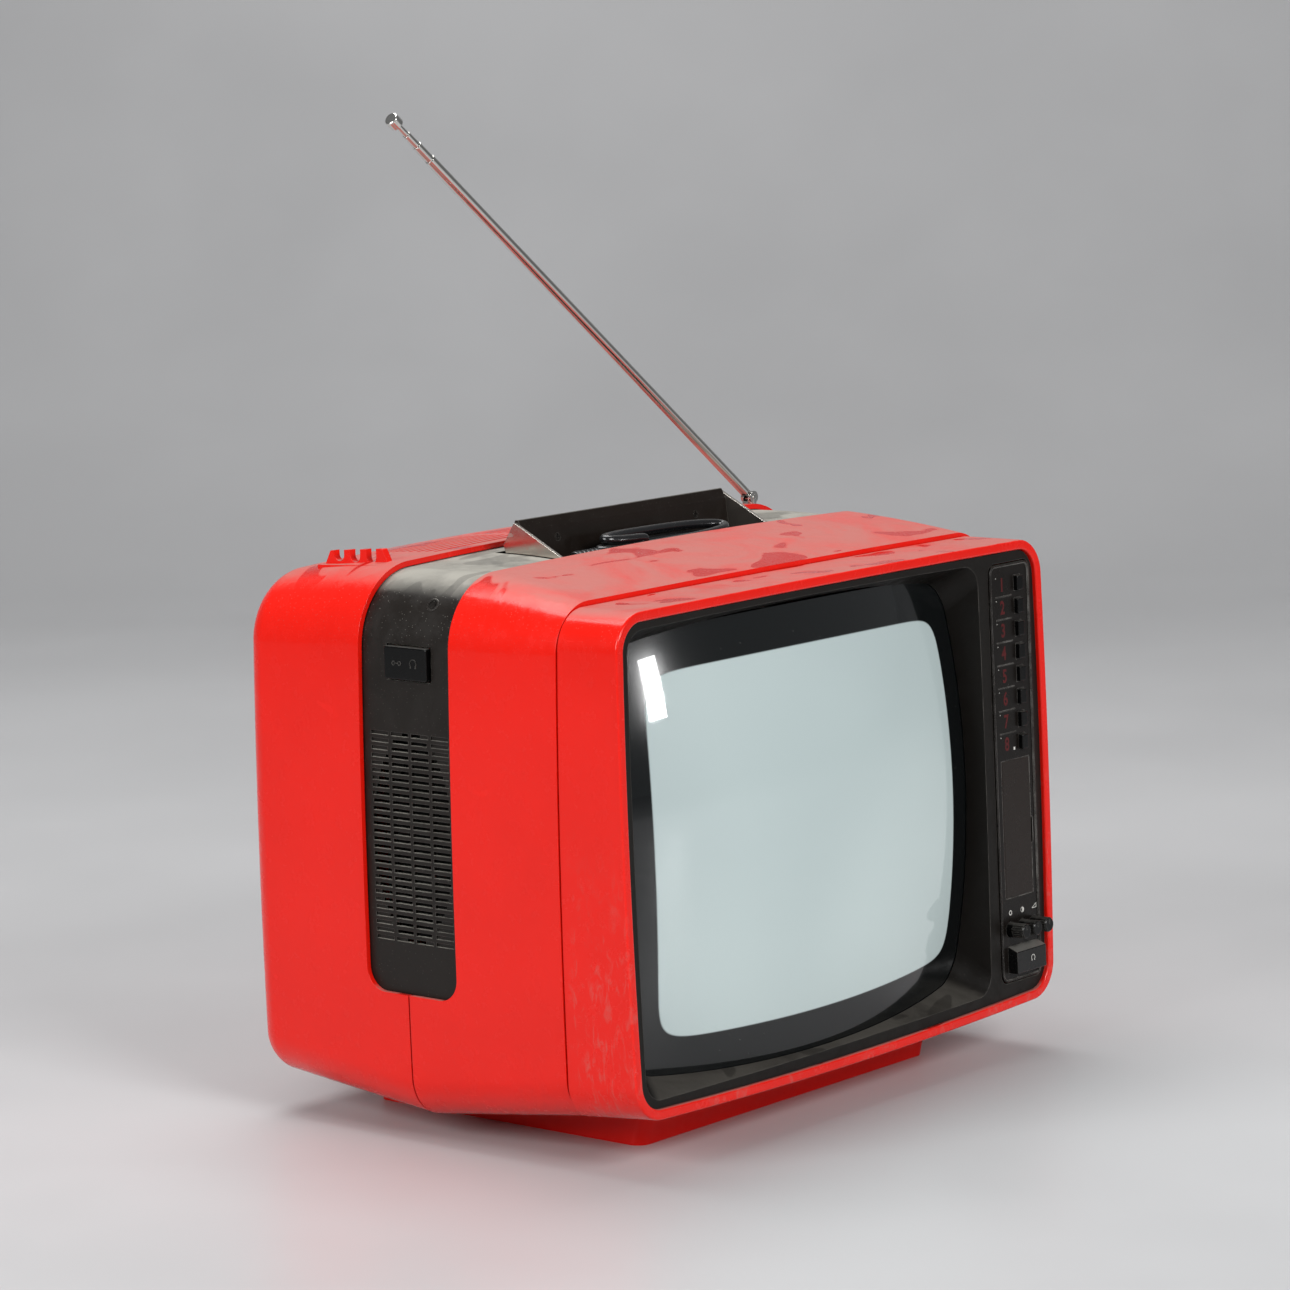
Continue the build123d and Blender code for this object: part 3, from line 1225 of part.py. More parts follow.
with BuildPart() as chassis_board:
    with BuildSketch(top_plane(BOARD_HEIGHT)):
        with Locations(BOARD_MIDDLE):
            Rectangle(BOARD_WIDE, BOARD_DEEP)
    extrude(amount=BOARD_THICK)
    # reservoir capacitors, coils and smaller parts, standing on the board
    cans = (
        (-60, 212, 12.5, 40), (-20, 214, 9, 30), (18, 216, 8, 26), (52, 212, 6, 18), (-60, 279, 8, 28),
        (-30, 279, 6, 20), (5, 279, 5, 16), (130, 215, 7, 24), (150, 236, 5, 15), (30, 250, 9, 14),
    )
    for x, depth, radius, tall in cans:
        with BuildSketch(top_plane(BOARD_HEIGHT)):
            with Locations((x, depth)):
                Circle(radius)
        extrude(amount=tall)
    # the switching transformer and two relays
    for x, depth, wide, tall in ((-120, 250, 44, 38), (-128, 212, 20, 16), (-96, 212, 20, 16)):
        with BuildSketch(top_plane(BOARD_HEIGHT)):
            with Locations((x, depth)):
                RectangleRounded(wide, wide * 0.8, 2)
        extrude(amount=tall)
    with BuildSketch(top_plane(BOARD_HEIGHT)):
        with GridLocations(24, 13, 6, 4):
            with Locations((-8, 249)):
                Rectangle(10, 3)
    extrude(amount=4.5)
save(chassis_board, "chassis_board")

with BuildPart() as line_transformer:
    with BuildSketch(top_plane(BOARD_HEIGHT + BOARD_THICK)):
        with Locations((110, 266)):
            RectangleRounded(44, 40, 5)
    extrude(amount=50)
    with BuildSketch(top_plane(BOARD_HEIGHT + BOARD_THICK)):
        with Locations((82, 266)):
            Rectangle(14, 14)
    extrude(amount=44)
    with BuildSketch(top_plane(BOARD_HEIGHT + 36)):
        with Locations((90, 266)):
            Rectangle(20, 14)
    extrude(amount=10)
save(line_transformer, "line_transformer")

with BuildPart() as heat_sink:
    with BuildSketch(top_plane(BOARD_HEIGHT + BOARD_THICK)):
        with Locations((0, 299)):
            Rectangle(90, 2)
        for fin in range(16):
            with Locations((-43.5 + fin * 5.8, 294)):
                Rectangle(1.4, 9)
    extrude(amount=46)
save(heat_sink, "heat_sink")

with BuildPart() as tuner_module:
    with BuildSketch(case_plane(60)):
        with Locations((200, 236)):
            RectangleRounded(22, 86, 1.5)
    extrude(amount=-62)
    with BuildSketch(case_plane(122)):
        with Locations((200, 262)):
            Circle(5)
    extrude(amount=-9)
save(tuner_module, "tuner_module")

with BuildPart() as aerial_socket:
    with BuildSketch(case_plane(REAR + 1.5)):
        with Locations(AERIAL_SPOT):
            Circle(AERIAL_OPENING + 2)
            Circle(AERIAL_CONTACT, mode=Mode.SUBTRACT)
    extrude(amount=1.4)
    with BuildSketch(case_plane(REAR + 1)):
        with Locations(AERIAL_SPOT):
            Circle(AERIAL_OPENING - 0.2)
            Circle(AERIAL_CONTACT, mode=Mode.SUBTRACT)
    extrude(amount=16)
save(aerial_socket, "aerial_socket")

with BuildPart() as case_screws:
    for height, tip in ((LOWER_BOSS, PARTING - 12), (UPPER_BOSS, BAND_BOSS_REAR - 10)):
        with BuildSketch(case_plane(REAR - SCREW_WELL + SCREW_HEAD)):
            boss_holes(height, SCREW_HEAD_RADIUS)
        extrude(amount=SCREW_HEAD)
        with BuildSketch(case_plane(REAR - SCREW_WELL + SCREW_HEAD)):
            with Locations((-BOSS_X, height), (BOSS_X, height)):
                Rectangle(5, 1)
                Rectangle(1, 5)
        extrude(amount=1.6, mode=Mode.SUBTRACT)
        with BuildSketch(case_plane(REAR - SCREW_WELL)):
            boss_holes(height, SCREW_RADIUS - 0.05)
        extrude(amount=REAR - SCREW_WELL - tip)
save(case_screws, "case_screws")

# the lead from the line transformer to the cap on top of the funnel
CAP_DIRECTION = (0, 0.8, 1)
CAP_THICK, LEAD_RADIUS = 5.0, 2.2
CAP_FOOT = Plane(origin=at(TUBE_X, 118, 265.9), x_dir=(1, 0, 0), z_dir=CAP_DIRECTION)
with BuildPart() as anode_lead:
    with BuildSketch(CAP_FOOT):
        Circle(11)
    extrude(amount=CAP_THICK)
    fillet(edges().filter_by(GeomType.CIRCLE).sort_by(Axis.Z)[-1], 2)
    with BuildLine() as lead:
        Spline(
            CAP_FOOT.from_local_coords((0, 0, CAP_THICK - 1)),
            at(10, 152, 284),
            at(96, 212, 222),
            at(118, 262, BOARD_HEIGHT + 51.7),
            tangents=(CAP_DIRECTION, (0, 0, -1)),
        )
    with BuildSketch(Plane(origin=lead.wire() @ 0, z_dir=lead.wire() % 0)):
        Circle(LEAD_RADIUS)
    sweep()
save(anode_lead, "anode_lead")
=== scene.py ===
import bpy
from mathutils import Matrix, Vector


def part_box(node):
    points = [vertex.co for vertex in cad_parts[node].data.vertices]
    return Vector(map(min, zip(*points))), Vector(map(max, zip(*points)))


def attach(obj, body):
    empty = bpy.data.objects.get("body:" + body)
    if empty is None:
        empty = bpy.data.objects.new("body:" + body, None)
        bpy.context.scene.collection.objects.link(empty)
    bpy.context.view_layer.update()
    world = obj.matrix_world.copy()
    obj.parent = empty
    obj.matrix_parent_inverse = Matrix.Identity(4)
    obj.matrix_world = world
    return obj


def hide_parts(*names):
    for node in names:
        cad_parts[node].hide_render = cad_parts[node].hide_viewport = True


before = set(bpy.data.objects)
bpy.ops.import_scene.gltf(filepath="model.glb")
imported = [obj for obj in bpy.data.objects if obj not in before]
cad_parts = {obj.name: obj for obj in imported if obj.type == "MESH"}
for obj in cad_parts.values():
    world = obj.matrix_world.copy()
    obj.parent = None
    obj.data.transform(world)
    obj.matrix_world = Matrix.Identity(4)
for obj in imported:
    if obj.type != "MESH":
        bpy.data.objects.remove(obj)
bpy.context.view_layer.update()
import math

import bpy
from mathutils import Matrix, Vector

# Row frame, metres: X to the viewer's right, Y to the rear, Z up. "Depth" runs to the rear from the
# case's lower front edge and "height" runs up from it; both are given in millimetres.
MM = 0.001
FRONT_Y, CASE_Z, LEAN = -172.0, 37.2, math.radians(1.55)

# the picture on the tube: its middle, half its width and height, how far its sides bow and how
# square its corners are
TUBE_X, TUBE_HEIGHT = -25.7, 155.8
PICTURE_HALF = (157.5, 118.5)
PICTURE_BOW, CORNER_POWER = 0.035, 16.0

# the controls: across from the middle, up along the leaning front, and proud of the panel's face
PANEL_FACE = 3.0
CELL_DOT_X, NUMERAL_X, LAMP_X = 175.9, 182.8, 190.8
KNOB_X = {"brightness": 180.0, "contrast": 194.0, "volume": 208.0}
SYMBOL_HEIGHT = 62.6
POWER_MIDDLE, POWER_PROUD = (194.5, 29.5), 7.4
KEYS = [f"key_{i}" for i in range(1, 9)]

# printed marks stand this far off their face and are rooted this far into it, in metres
MARK_PROUD, MARK_ROOT = 0.00006, 0.0002
FONT_SIZE, FONT_BOLD, FONT_SQUEEZE = 12.6 * MM, 0.00034, 0.82

CABLE_RADIUS, CABLE_PITCH = 0.00315, 6.4 * MM
COIL_TURNS, COIL_STEPS = 5, 72
BAY_DEPTH, SLEEVE_X, SLEEVE_HEIGHT = 160.4, -64, 324.5

CAMERA_PLACE, CAMERA_LENS = (-2.3207, -1.9188, 0.7306), 127.47
CAMERA_AZIMUTH, CAMERA_ELEVATION, CAMERA_ROLL = -50.41, 8.25, -1.34
WORLD_COLOUR, WORLD_STRENGTH = (0.86, 0.88, 0.90, 1.0), 0.22
# name, place, width, height, watts
SOFTBOXES = (
    ("strip_front", (1.17, -2.9, 0.695), 0.145, 0.34, 8.5),
    ("key_front", (-0.9, -3.3, 2.1), 1.5, 1.1, 100),
    ("side_left", (-3.3, 0.5, 1.7), 1.8, 1.4, 84),
    ("overhead", (0.3, 0.7, 2.7), 2.0, 1.6, 58),
)


def spot(x, depth, height):
    """A point of the case, in the row frame."""
    return Vector((x, FRONT_Y + depth, CASE_Z + height)) * MM


def face_spot(x, height, depth=0.0):
    """A point a depth behind the leaning front, at a height along it."""
    up = Vector((0, math.sin(LEAN), math.cos(LEAN)))
    back = Vector((0, math.cos(LEAN), -math.sin(LEAN)))
    return (Vector((x, FRONT_Y, CASE_Z)) + up * height + back * depth) * MM


def face_matrix(x, height, depth=0.0):
    """Local x runs right, local y up the leaning front and local z out of it."""
    turn = Matrix.Rotation(math.pi / 2 - LEAN, 4, "X")
    return Matrix.Translation(face_spot(x, height, depth)) @ turn


# ---------------------------------------------------------------- shader helpers
class Shader:
    """A material whose node tree is written as nested calls."""

    def __init__(self, name):
        self.material = bpy.data.materials.new(name)
        self.material.use_nodes = True
        self.tree = self.material.node_tree
        self.tree.nodes.clear()
        self.place = self.node("ShaderNodeTexCoord", out="Object")

    def node(self, kind, inputs=None, out=0, **settings):
        """Adds a node, sets or links its inputs and returns one output."""
        made = self.tree.nodes.new(kind)
        for key, value in settings.items():
            setattr(made, key, value)
        for key, value in (inputs or {}).items():
            if isinstance(value, bpy.types.NodeSocket):
                self.tree.links.new(value, made.inputs[key])
            elif value is not None:
                made.inputs[key].default_value = value
        return made.outputs[out]

    def math(self, operation, a, b=0.0, clamp=False):
        return self.node("ShaderNodeMath", {0: a, 1: b}, operation=operation, use_clamp=clamp)

    def times(self, a, b):
        return self.math("MULTIPLY", a, b)

    def rest_of(self, share):
        return self.math("SUBTRACT", 1.0, share)

    def stretched(self, scales):
        return self.node("ShaderNodeMapping", {0: self.place, 3: scales})

    def noise(self, scale, detail=3.0, rough=0.5, distortion=0.0, place=None):
        inputs = {"Vector": place or self.place, "Scale": scale, "Detail": detail}
        return self.node("ShaderNodeTexNoise", {**inputs, "Roughness": rough, "Distortion": distortion})

    def cells(self, scale):
        """The distance to the nearest of many scattered points."""
        return self.node("ShaderNodeTexVoronoi", {"Vector": self.place, "Scale": scale}, "Distance")

    def band(self, value, low, high, start=0.0, end=1.0):
        """A smooth step: start below low, end above high. The step may also run downwards."""
        inputs = {0: value, 1: low, 2: high, 3: start, 4: end}
        return self.node("ShaderNodeMapRange", inputs, interpolation_type="SMOOTHSTEP")

    def mix(self, share, a, b):
        """Colour a, turning into colour b as share goes from 0 to 1."""
        inputs = {0: share, 6: a, 7: b}
        return self.node("ShaderNodeMix", inputs, 2, data_type="RGBA")

    def axis(self, vector, index):
        return self.node("ShaderNodeSeparateXYZ", {0: vector}, index)

    def up(self):
        """How far the surface looks up."""
        return self.axis(self.node("ShaderNodeNewGeometry", out="Normal"), 2)

    def bump(self, height, strength, distance, normal=None):
        inputs = {"Strength": strength, "Distance": distance, "Height": height, "Normal": normal}
        return self.node("ShaderNodeBump", inputs)

    def scratches(self, amount):
        """Fine lines: noise stretched along the depth of the case, and along its height."""
        along = self.noise(1.0, 2.0, 0.5, 0.4, self.stretched((900.0, 35.0, 60.0)))
        across = self.noise(1.0, 2.0, 0.5, 0.4, self.stretched((40.0, 60.0, 1100.0)))
        scored = self.math("MAXIMUM", self.band(along, 0.70, 0.76), self.band(across, 0.71, 0.77))
        return self.times(scored, amount)

    def edge_wear(self, rounded, mottled):
        """Edges are where the rounded normal turns away from the flat one; they lighten unevenly, partly as
        rubbed wear and partly as a painted highlight.
        """
        flat = self.node("ShaderNodeNewGeometry", out="Normal")
        turned = self.node("ShaderNodeVectorMath", {0: rounded, 1: flat}, "Value", operation="DOT_PRODUCT")
        return self.times(self.band(turned, 0.985, 0.86), self.band(mottled, 0.0, 1.0, 0.35, 1.0))

    def low_scuffs(self):
        """A rubbed patch low on the left side of the front frame."""
        low = self.band(self.axis(self.place, 2), 0.24, 0.10)
        front = self.band(self.axis(self.place, 1), -0.118, -0.126)
        streaks = self.noise(1.0, 6.0, 0.75, 1.4, self.stretched((60.0, 150.0, 52.0)))
        return self.times(self.band(streaks, 0.5, 0.68), self.times(low, front))

    def wiped_patches(self, amount):
        """Patches where the dust was wiped away; where they face up, finish() also paints them darker as
        painted shade.
        """
        patches = self.noise(1.0, 1.6, 0.45, 0.7, self.stretched((19.0, 34.0, 24.0)))
        return self.times(self.band(patches, 0.60, 0.625), amount)

    def dust_cover(self, amount, patches):
        """A film on faces that look up, and specks on most others."""
        film = self.band(self.noise(17.0, 5.0, 0.62, 0.9), 0.22, 0.62, 0.45, 1.0)
        film = self.times(self.times(film, self.rest_of(patches)), self.band(self.up(), 0.70, 0.985))
        specks = self.band(self.cells(420.0), 0.16, 0.05)
        specks = self.times(specks, self.band(self.up(), -0.2, 0.9, 0.12, 0.8))
        return self.math("MAXIMUM", self.times(film, amount), self.times(specks, min(1.0, amount * 0.8)))

    def surface(self, **inputs):
        """The finished material; underscores in the inputs' names stand for spaces."""
        named = {key.replace("_", " "): value for key, value in inputs.items()}
        shader = self.node("ShaderNodeBsdfPrincipled", named)
        end = self.tree.nodes.new("ShaderNodeOutputMaterial")
        self.tree.links.new(shader, end.inputs["Surface"])
        return self.material


def rgb(red, green, blue):
    """A colour given as display values from 0 to 255."""
    def linear(v):
        v /= 255.0
        return v / 12.92 if v <= 0.04045 else ((v + 0.055) / 1.055) ** 2.4
    return (linear(red), linear(green), linear(blue), 1.0)


def shade(colour, factor):
    return tuple(c * factor for c in colour[:3]) + (1.0,)


def finish(
    name, colour, rough=0.4, vary=0.12, grain=2600.0, grain_height=0.00002, edge=0.0006, edge_worn_and_lit=None,
    dust=0.0, dust_colour=rgb(150, 140, 130), wiped=0.0, metal=0.0, coat=0.0, scratch=0.3, scuffs=0.0,
    shine=0.5,
):
    """One surface: colour drift, uneven gloss, grain, fine scratches, edges lightened by wear and by a
    painted highlight, and dust on top with up-facing bare patches painted darker as painted shade.
    """
    s = Shader(name)
    drift = s.band(s.noise(9.0, 4.0, 0.6), 0.3, 0.7)
    mottled = s.band(s.noise(70.0, 5.0, 0.65), 0.35, 0.7)
    scored = s.scratches(scratch)
    rounded = s.node("ShaderNodeBevel", {0: edge}, samples=6)
    edge_rub_and_highlight = s.times(s.edge_wear(rounded, mottled), 0.7 if edge_worn_and_lit else 0.35)

    base = s.mix(drift, shade(colour, 1 - vary), shade(colour, 1 + vary))
    # Lighter edges: partly rubbed wear, partly a painted highlight along the edges.
    base = s.mix(edge_rub_and_highlight, base, edge_worn_and_lit or shade(colour, 1.45))
    base = s.mix(s.times(scored, 0.35), base, shade(colour, 1.5))
    if scuffs:
        base = s.mix(s.times(s.low_scuffs(), scuffs), base, dust_colour)
    gloss = s.math("ADD", s.band(mottled, 0.0, 1.0, rough * 0.82, rough * 1.22), s.times(scored, 0.22))
    bumps = s.bump(s.noise(grain, 2.0, 0.6), 0.5, grain_height, rounded)
    bumps = s.bump(scored, 0.4, -0.00003, bumps)

    if dust:
        patches = s.wiped_patches(wiped)
        cover = s.dust_cover(dust, patches)
        # Bare patches that face up take a darker copy of the colour: painted shade for the dark reflection
        # of clean gloss.
        base = s.mix(s.times(patches, s.band(s.up(), 0.8, 0.97)), base, shade(colour, 0.6))
        base = s.mix(cover, base, dust_colour)
        gloss = s.math("ADD", gloss, s.times(cover, 0.4), True)
        coat = s.times(s.rest_of(cover), coat)
        metal = s.times(s.rest_of(cover), metal) if metal else metal
    return s.surface(
        Base_Color=base, Roughness=gloss, Metallic=metal, Coat_Weight=coat, Coat_Roughness=0.12,
        Specular_IOR_Level=shine, Normal=bumps,
    )


def screen_finish():
    """Grey phosphor behind polished glass, with the tube's black surround."""
    s = Shader("screen_glass")
    middle = face_spot(TUBE_X, TUBE_HEIGHT)

    def from_middle(index, half):
        """0 in the middle of the picture and 1 at its edge, along one axis."""
        away = s.math("SUBTRACT", s.axis(s.place, index), middle[index])
        return s.math("ABSOLUTE", s.math("DIVIDE", away, half * MM))

    def bowed(a, b):
        fall = s.times(s.times(b, b), PICTURE_BOW)
        return s.math("POWER", s.math("ADD", a, fall), CORNER_POWER)

    across, upward = from_middle(0, PICTURE_HALF[0]), from_middle(2, PICTURE_HALF[1])
    reach = s.math("ADD", bowed(across, upward), bowed(upward, across))
    lit = s.band(s.math("POWER", reach, 1 / CORNER_POWER), 1.004, 0.994)
    drift = s.band(s.noise(3.0, 2.0), 0.3, 0.7)
    phosphor = s.mix(drift, rgb(178, 192, 192), rgb(193, 207, 206))
    dots = s.band(s.cells(1500.0), 0.2, 0.6, 0.96, 1.0)
    phosphor = s.mix(dots, shade(rgb(167, 182, 183), 0.8), phosphor)
    base = s.mix(lit, rgb(9, 12, 13), phosphor)
    specks = s.band(s.cells(160.0), 0.05, 0.02)
    base = s.mix(s.times(specks, 0.35), base, rgb(210, 210, 205))
    film = s.times(s.band(s.noise(14.0, 5.0, 0.7, 1.2), 0.55, 0.75), 0.05)
    return s.surface(
        Base_Color=base, Roughness=s.band(lit, 0.0, 1.0, 0.12, 0.55), Specular_IOR_Level=0.3,
        Coat_Weight=s.band(lit, 0.0, 1.0, 0.55, 1.0), Coat_Roughness=s.math("ADD", film, 0.015),
        Coat_IOR=1.55, Coat_Normal=s.bump(s.noise(5.0, 1.0), 0.12, 0.0004),
    )


# ---------------------------------------------------------------- finishes
# Edge colours for the lightened edges: partly rubbed wear, partly a painted highlight.
EDGE_GREY, EDGE_PALE = rgb(112, 109, 104), rgb(158, 155, 150)
RED_DUST, BAND_DUST, MASK_DUST = rgb(172, 112, 104), rgb(158, 155, 146), rgb(94, 90, 84)
PANEL_DUST, GREY_DUST, DARK_DUST = rgb(100, 96, 90), rgb(134, 131, 124), rgb(96, 94, 90)

red_case = finish(
    "red_case", rgb(220, 22, 8), rough=0.24, vary=0.03, grain=3200.0, grain_height=0.000003, edge=0.0009,
    dust=0.85, dust_colour=RED_DUST, wiped=0.9, coat=0.26, scratch=0.25, scuffs=0.3, shine=0.2,
)
red_base = finish(
    "red_base", rgb(212, 18, 8), rough=0.42, vary=0.05, grain=2400.0, grain_height=0.00001, edge=0.0008,
    dust=0.3, dust_colour=RED_DUST, wiped=0.5, scratch=0.4, shine=0.2,
)
dark_band = finish(
    "dark_band", rgb(27, 23, 20), rough=0.4, vary=0.08, grain=1500.0, grain_height=0.00003, edge=0.0007,
    edge_worn_and_lit=EDGE_GREY, dust=0.95, dust_colour=BAND_DUST, wiped=0.3, shine=0.22,
)
dark_mask = finish(
    "dark_mask", rgb(18, 15, 12), rough=0.46, vary=0.1, grain=1300.0, grain_height=0.00005, edge=0.0008,
    edge_worn_and_lit=EDGE_GREY, dust=0.6, dust_colour=MASK_DUST, wiped=0.4, shine=0.2,
)
panel_black = finish(
    "panel_black", rgb(20, 17, 15), rough=0.3, vary=0.08, grain=1700.0, grain_height=0.00003, edge=0.0011,
    edge_worn_and_lit=EDGE_PALE, dust=0.4, dust_colour=PANEL_DUST, shine=0.2,
)
door_black = finish(
    "door_black", rgb(29, 22, 18), rough=0.3, vary=0.08, grain=1900.0, edge=0.0006, edge_worn_and_lit=EDGE_GREY,
    dust=0.25, dust_colour=PANEL_DUST, shine=0.28,
)
key_black = finish(
    "key_black", rgb(7, 7, 7), rough=0.2, vary=0.1, grain_height=0.00001, edge=0.0009, edge_worn_and_lit=EDGE_GREY,
    dust=0.6, dust_colour=DARK_DUST, coat=0.08, shine=0.16,
)
button_black = finish(
    "button_black", rgb(13, 13, 13), rough=0.24, vary=0.1, grain_height=0.00001, edge=0.0007, edge_worn_and_lit=EDGE_GREY,
    dust=0.85, dust_colour=rgb(118, 116, 111), wiped=0.2, shine=0.35,
)
grip_black = finish(
    "grip_black", rgb(24, 18, 14), rough=0.4, vary=0.1, grain=1500.0, grain_height=0.00004, edge=0.0007,
    edge_worn_and_lit=EDGE_GREY, dust=0.4, dust_colour=GREY_DUST, wiped=0.5, shine=0.18,
)
rubber = finish(
    "rubber", rgb(17, 17, 19), rough=0.26, grain=1800.0, grain_height=0.000015, edge=0.0003, dust=0.2,
    dust_colour=DARK_DUST, wiped=0.3, coat=0.3,
)
foot_rubber = finish(
    "foot_rubber", rgb(30, 30, 30), rough=0.75, grain=1300.0, grain_height=0.00004, edge=0.0004
)
cone_paper = finish(
    "cone_paper", rgb(20, 19, 18), rough=0.8, vary=0.15, grain=800.0, grain_height=0.0001, shine=0.2
)
chrome = finish(
    "chrome", rgb(206, 204, 200), rough=0.12, vary=0.05, grain_height=0.000004, edge=0.0004, metal=1.0,
    scratch=0.6,
)
plated = finish(
    "plated", rgb(198, 192, 184), rough=0.15, vary=0.08, grain=2200.0, grain_height=0.000008, edge=0.0005,
    dust=0.25, dust_colour=GREY_DUST, wiped=0.3, metal=0.97, scratch=0.8,
)
steel = finish(
    "steel", rgb(120, 120, 118), rough=0.36, vary=0.1, grain=1800.0, grain_height=0.00001, edge=0.0003,
    metal=1.0, scratch=0.8,
)
dark_steel = finish(
    "dark_steel", rgb(58, 55, 52), vary=0.1, grain=1800.0, grain_height=0.00001, edge=0.0003, metal=1.0
)
copper = finish(
    "copper", rgb(150, 74, 34), rough=0.35, vary=0.15, grain=900.0, grain_height=0.00008, metal=0.8
)
board = finish("board", rgb(122, 92, 48), rough=0.5, vary=0.15, grain=900.0, grain_height=0.00004, dust=0.5)
pale = finish("pale", rgb(190, 184, 168), rough=0.45, vary=0.08, grain=1500.0)
tube_glass = finish(
    "tube_glass", rgb(40, 44, 44), rough=0.2, vary=0.15, grain=900.0, grain_height=0.00001, coat=0.5
)
screen_glass = screen_finish()
print_red = finish(
    "print_red", rgb(74, 13, 15), rough=0.45, vary=0.1, grain=2000.0, grain_height=0.00001, edge=0.0001,
    shine=0.3,
)
print_white = finish(
    "print_white", rgb(206, 204, 198), rough=0.5, vary=0.05, grain=2000.0, grain_height=0.00001, edge=0.0001
)

NODE_FINISH = {
    red_case: ("front_frame", "main_shell", "rear_cover"),
    red_base: ("pedestal",),
    dark_band: ("centre_band", "handle_tray"),
    dark_mask: ("screen_mask",),
    panel_black: ("control_panel",),
    door_black: ("tuning_door",),
    button_black: ("power_button",),
    key_black: ("jack_cover", "antenna_base", *KEYS, *(f"knob_{name}" for name in KNOB_X)),
    grip_black: ("handle_grip",),
    plated: ("handle_arms",),
    chrome: ("antenna_knuckle", "antenna_pin", *(f"antenna_tube_{i}" for i in range(1, 5))),
    steel: (
        "handle_pins", "shadow_mask", "electron_gun", "tube_clamp", "tube_screws", "door_pin",
        "potentiometers", "speaker_screws", "chassis_frame", "heat_sink", "tuner_module", "case_screws",
    ),
    dark_steel: ("handle_screws",),
    rubber: ("mains_cable", "degaussing_coil", "anode_lead", "line_transformer"),
    foot_rubber: ("foot_pads",),
    copper: ("deflection_yoke",),
    board: ("neck_board", "key_board", "chassis_board"),
    pale: ("tuning_presets", "mains_switch", "socket_block", "aerial_socket"),
    tube_glass: ("tube_funnel",),
    cone_paper: ("loudspeaker",),
    screen_glass: ("tube_faceplate",),
}


def dress(obj, material):
    obj.data.materials.clear()
    obj.data.materials.append(material)


def smooth(obj, angle):
    """Rounded faces shade smooth and real corners stay sharp. The mesh itself stays as it is."""
    for polygon in obj.data.polygons:
        polygon.use_smooth = True
    obj.modifiers.new("weld", "WELD").merge_threshold = 1e-6
    split = obj.modifiers.new("split", "EDGE_SPLIT")
    split.split_angle = math.radians(angle)
    split.use_edge_sharp = False
    weighted = obj.modifiers.new("normals", "WEIGHTED_NORMAL")
    weighted.mode = "FACE_AREA"
    weighted.weight = 100


finish_of = {node: material for material, nodes in NODE_FINISH.items() for node in nodes}
for node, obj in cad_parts.items():
    dress(obj, finish_of[node])
    smooth(obj, 28.0)


# ---------------------------------------------------------------- mesh pieces
def placed(name, mesh, material, body):
    """A new object on a CAD body, with its finish."""
    obj = bpy.data.objects.new(name, mesh)
    bpy.context.scene.collection.objects.link(obj)
    dress(obj, material)
    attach(obj, body)
    return obj


def piece(name, verts, faces, material, body="case", sharp=35.0):
    """A new object made from points and faces."""
    mesh = bpy.data.meshes.new(name)
    mesh.from_pydata([tuple(v) for v in verts], [], faces)
    mesh.validate()
    mesh.update()
    obj = placed(name, mesh, material, body)
    smooth(obj, sharp)
    return obj


def rings_to_faces(rings, sides):
    """Quads between neighbouring rings of points, and a cap on each end."""
    faces = [
        (r * sides + i, r * sides + (i + 1) % sides, (r + 1) * sides + (i + 1) % sides, (r + 1) * sides + i)
        for r in range(rings - 1) for i in range(sides)
    ]
    faces.append(tuple(reversed(range(sides))))
    faces.append(tuple((rings - 1) * sides + i for i in range(sides)))
    return faces


def tube_mesh(path, radii, sides):
    """Points and faces of a round tube along a path, with the ring kept from twisting."""
    verts = []
    side = None
    for i, (point, radius) in enumerate(zip(path, radii, strict=True)):
        ahead = (path[min(i + 1, len(path) - 1)] - path[max(i - 1, 0)]).normalized()
        side = ahead.orthogonal() if side is None else side - ahead * side.dot(ahead)
        side = side.normalized()
        other = ahead.cross(side)
        for k in range(sides):
            turn = 2 * math.pi * k / sides
            verts.append(point + (side * math.cos(turn) + other * math.sin(turn)) * radius)
    return verts, rings_to_faces(len(path), sides)


def turned_mesh(start, way, profile, sides):
    """A round body along a straight line; the profile gives how far along and how wide, in mm."""
    path = [start + way * along * MM for along, _ in profile]
    return tube_mesh(path, [radius * MM for _, radius in profile], sides)


def coil_path(sleeve_end):
    """The middle of the cable: flat uneven loops that climb, then a curve into the sleeve."""
    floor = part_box("mains_cable")[0].z + CABLE_RADIUS
    middle_y, half_deep = spot(0, BAY_DEPTH, 0).y, 8.8 * MM
    path = []
    for i in range(COIL_TURNS * COIL_STEPS + 12):
        turn = i / COIL_STEPS
        angle = 2 * math.pi * turn + math.pi
        half_long = (76 - 2.6 * turn + 2.5 * math.sin(turn * 5.1)) * MM
        middle_x = (-4 + 3.2 * turn + 2.0 * math.sin(turn * 3.7)) * MM
        along = math.copysign(abs(math.cos(angle)) ** 0.8, math.cos(angle))
        back = math.copysign(abs(math.sin(angle)) ** 0.9, math.sin(angle))
        rise = floor + CABLE_PITCH * min(turn, COIL_TURNS) + (0.3 + 0.26 * turn) * MM * (back + 1.6)
        path.append(Vector((middle_x + half_long * along, middle_y + half_deep * back, max(rise, floor))))
    last, before = path[-1], path[-2]
    ahead = last + (last - before).normalized() * 0.022
    approach = sleeve_end + Vector((0.024, 0, 0.002))
    for i in range(1, 25):
        t = i / 24
        a, b, c, d = (1 - t) ** 3, 3 * t * (1 - t) ** 2, 3 * t * t * (1 - t), t**3
        path.append(last * a + ahead * b + approach * c + sleeve_end * d)
    return path


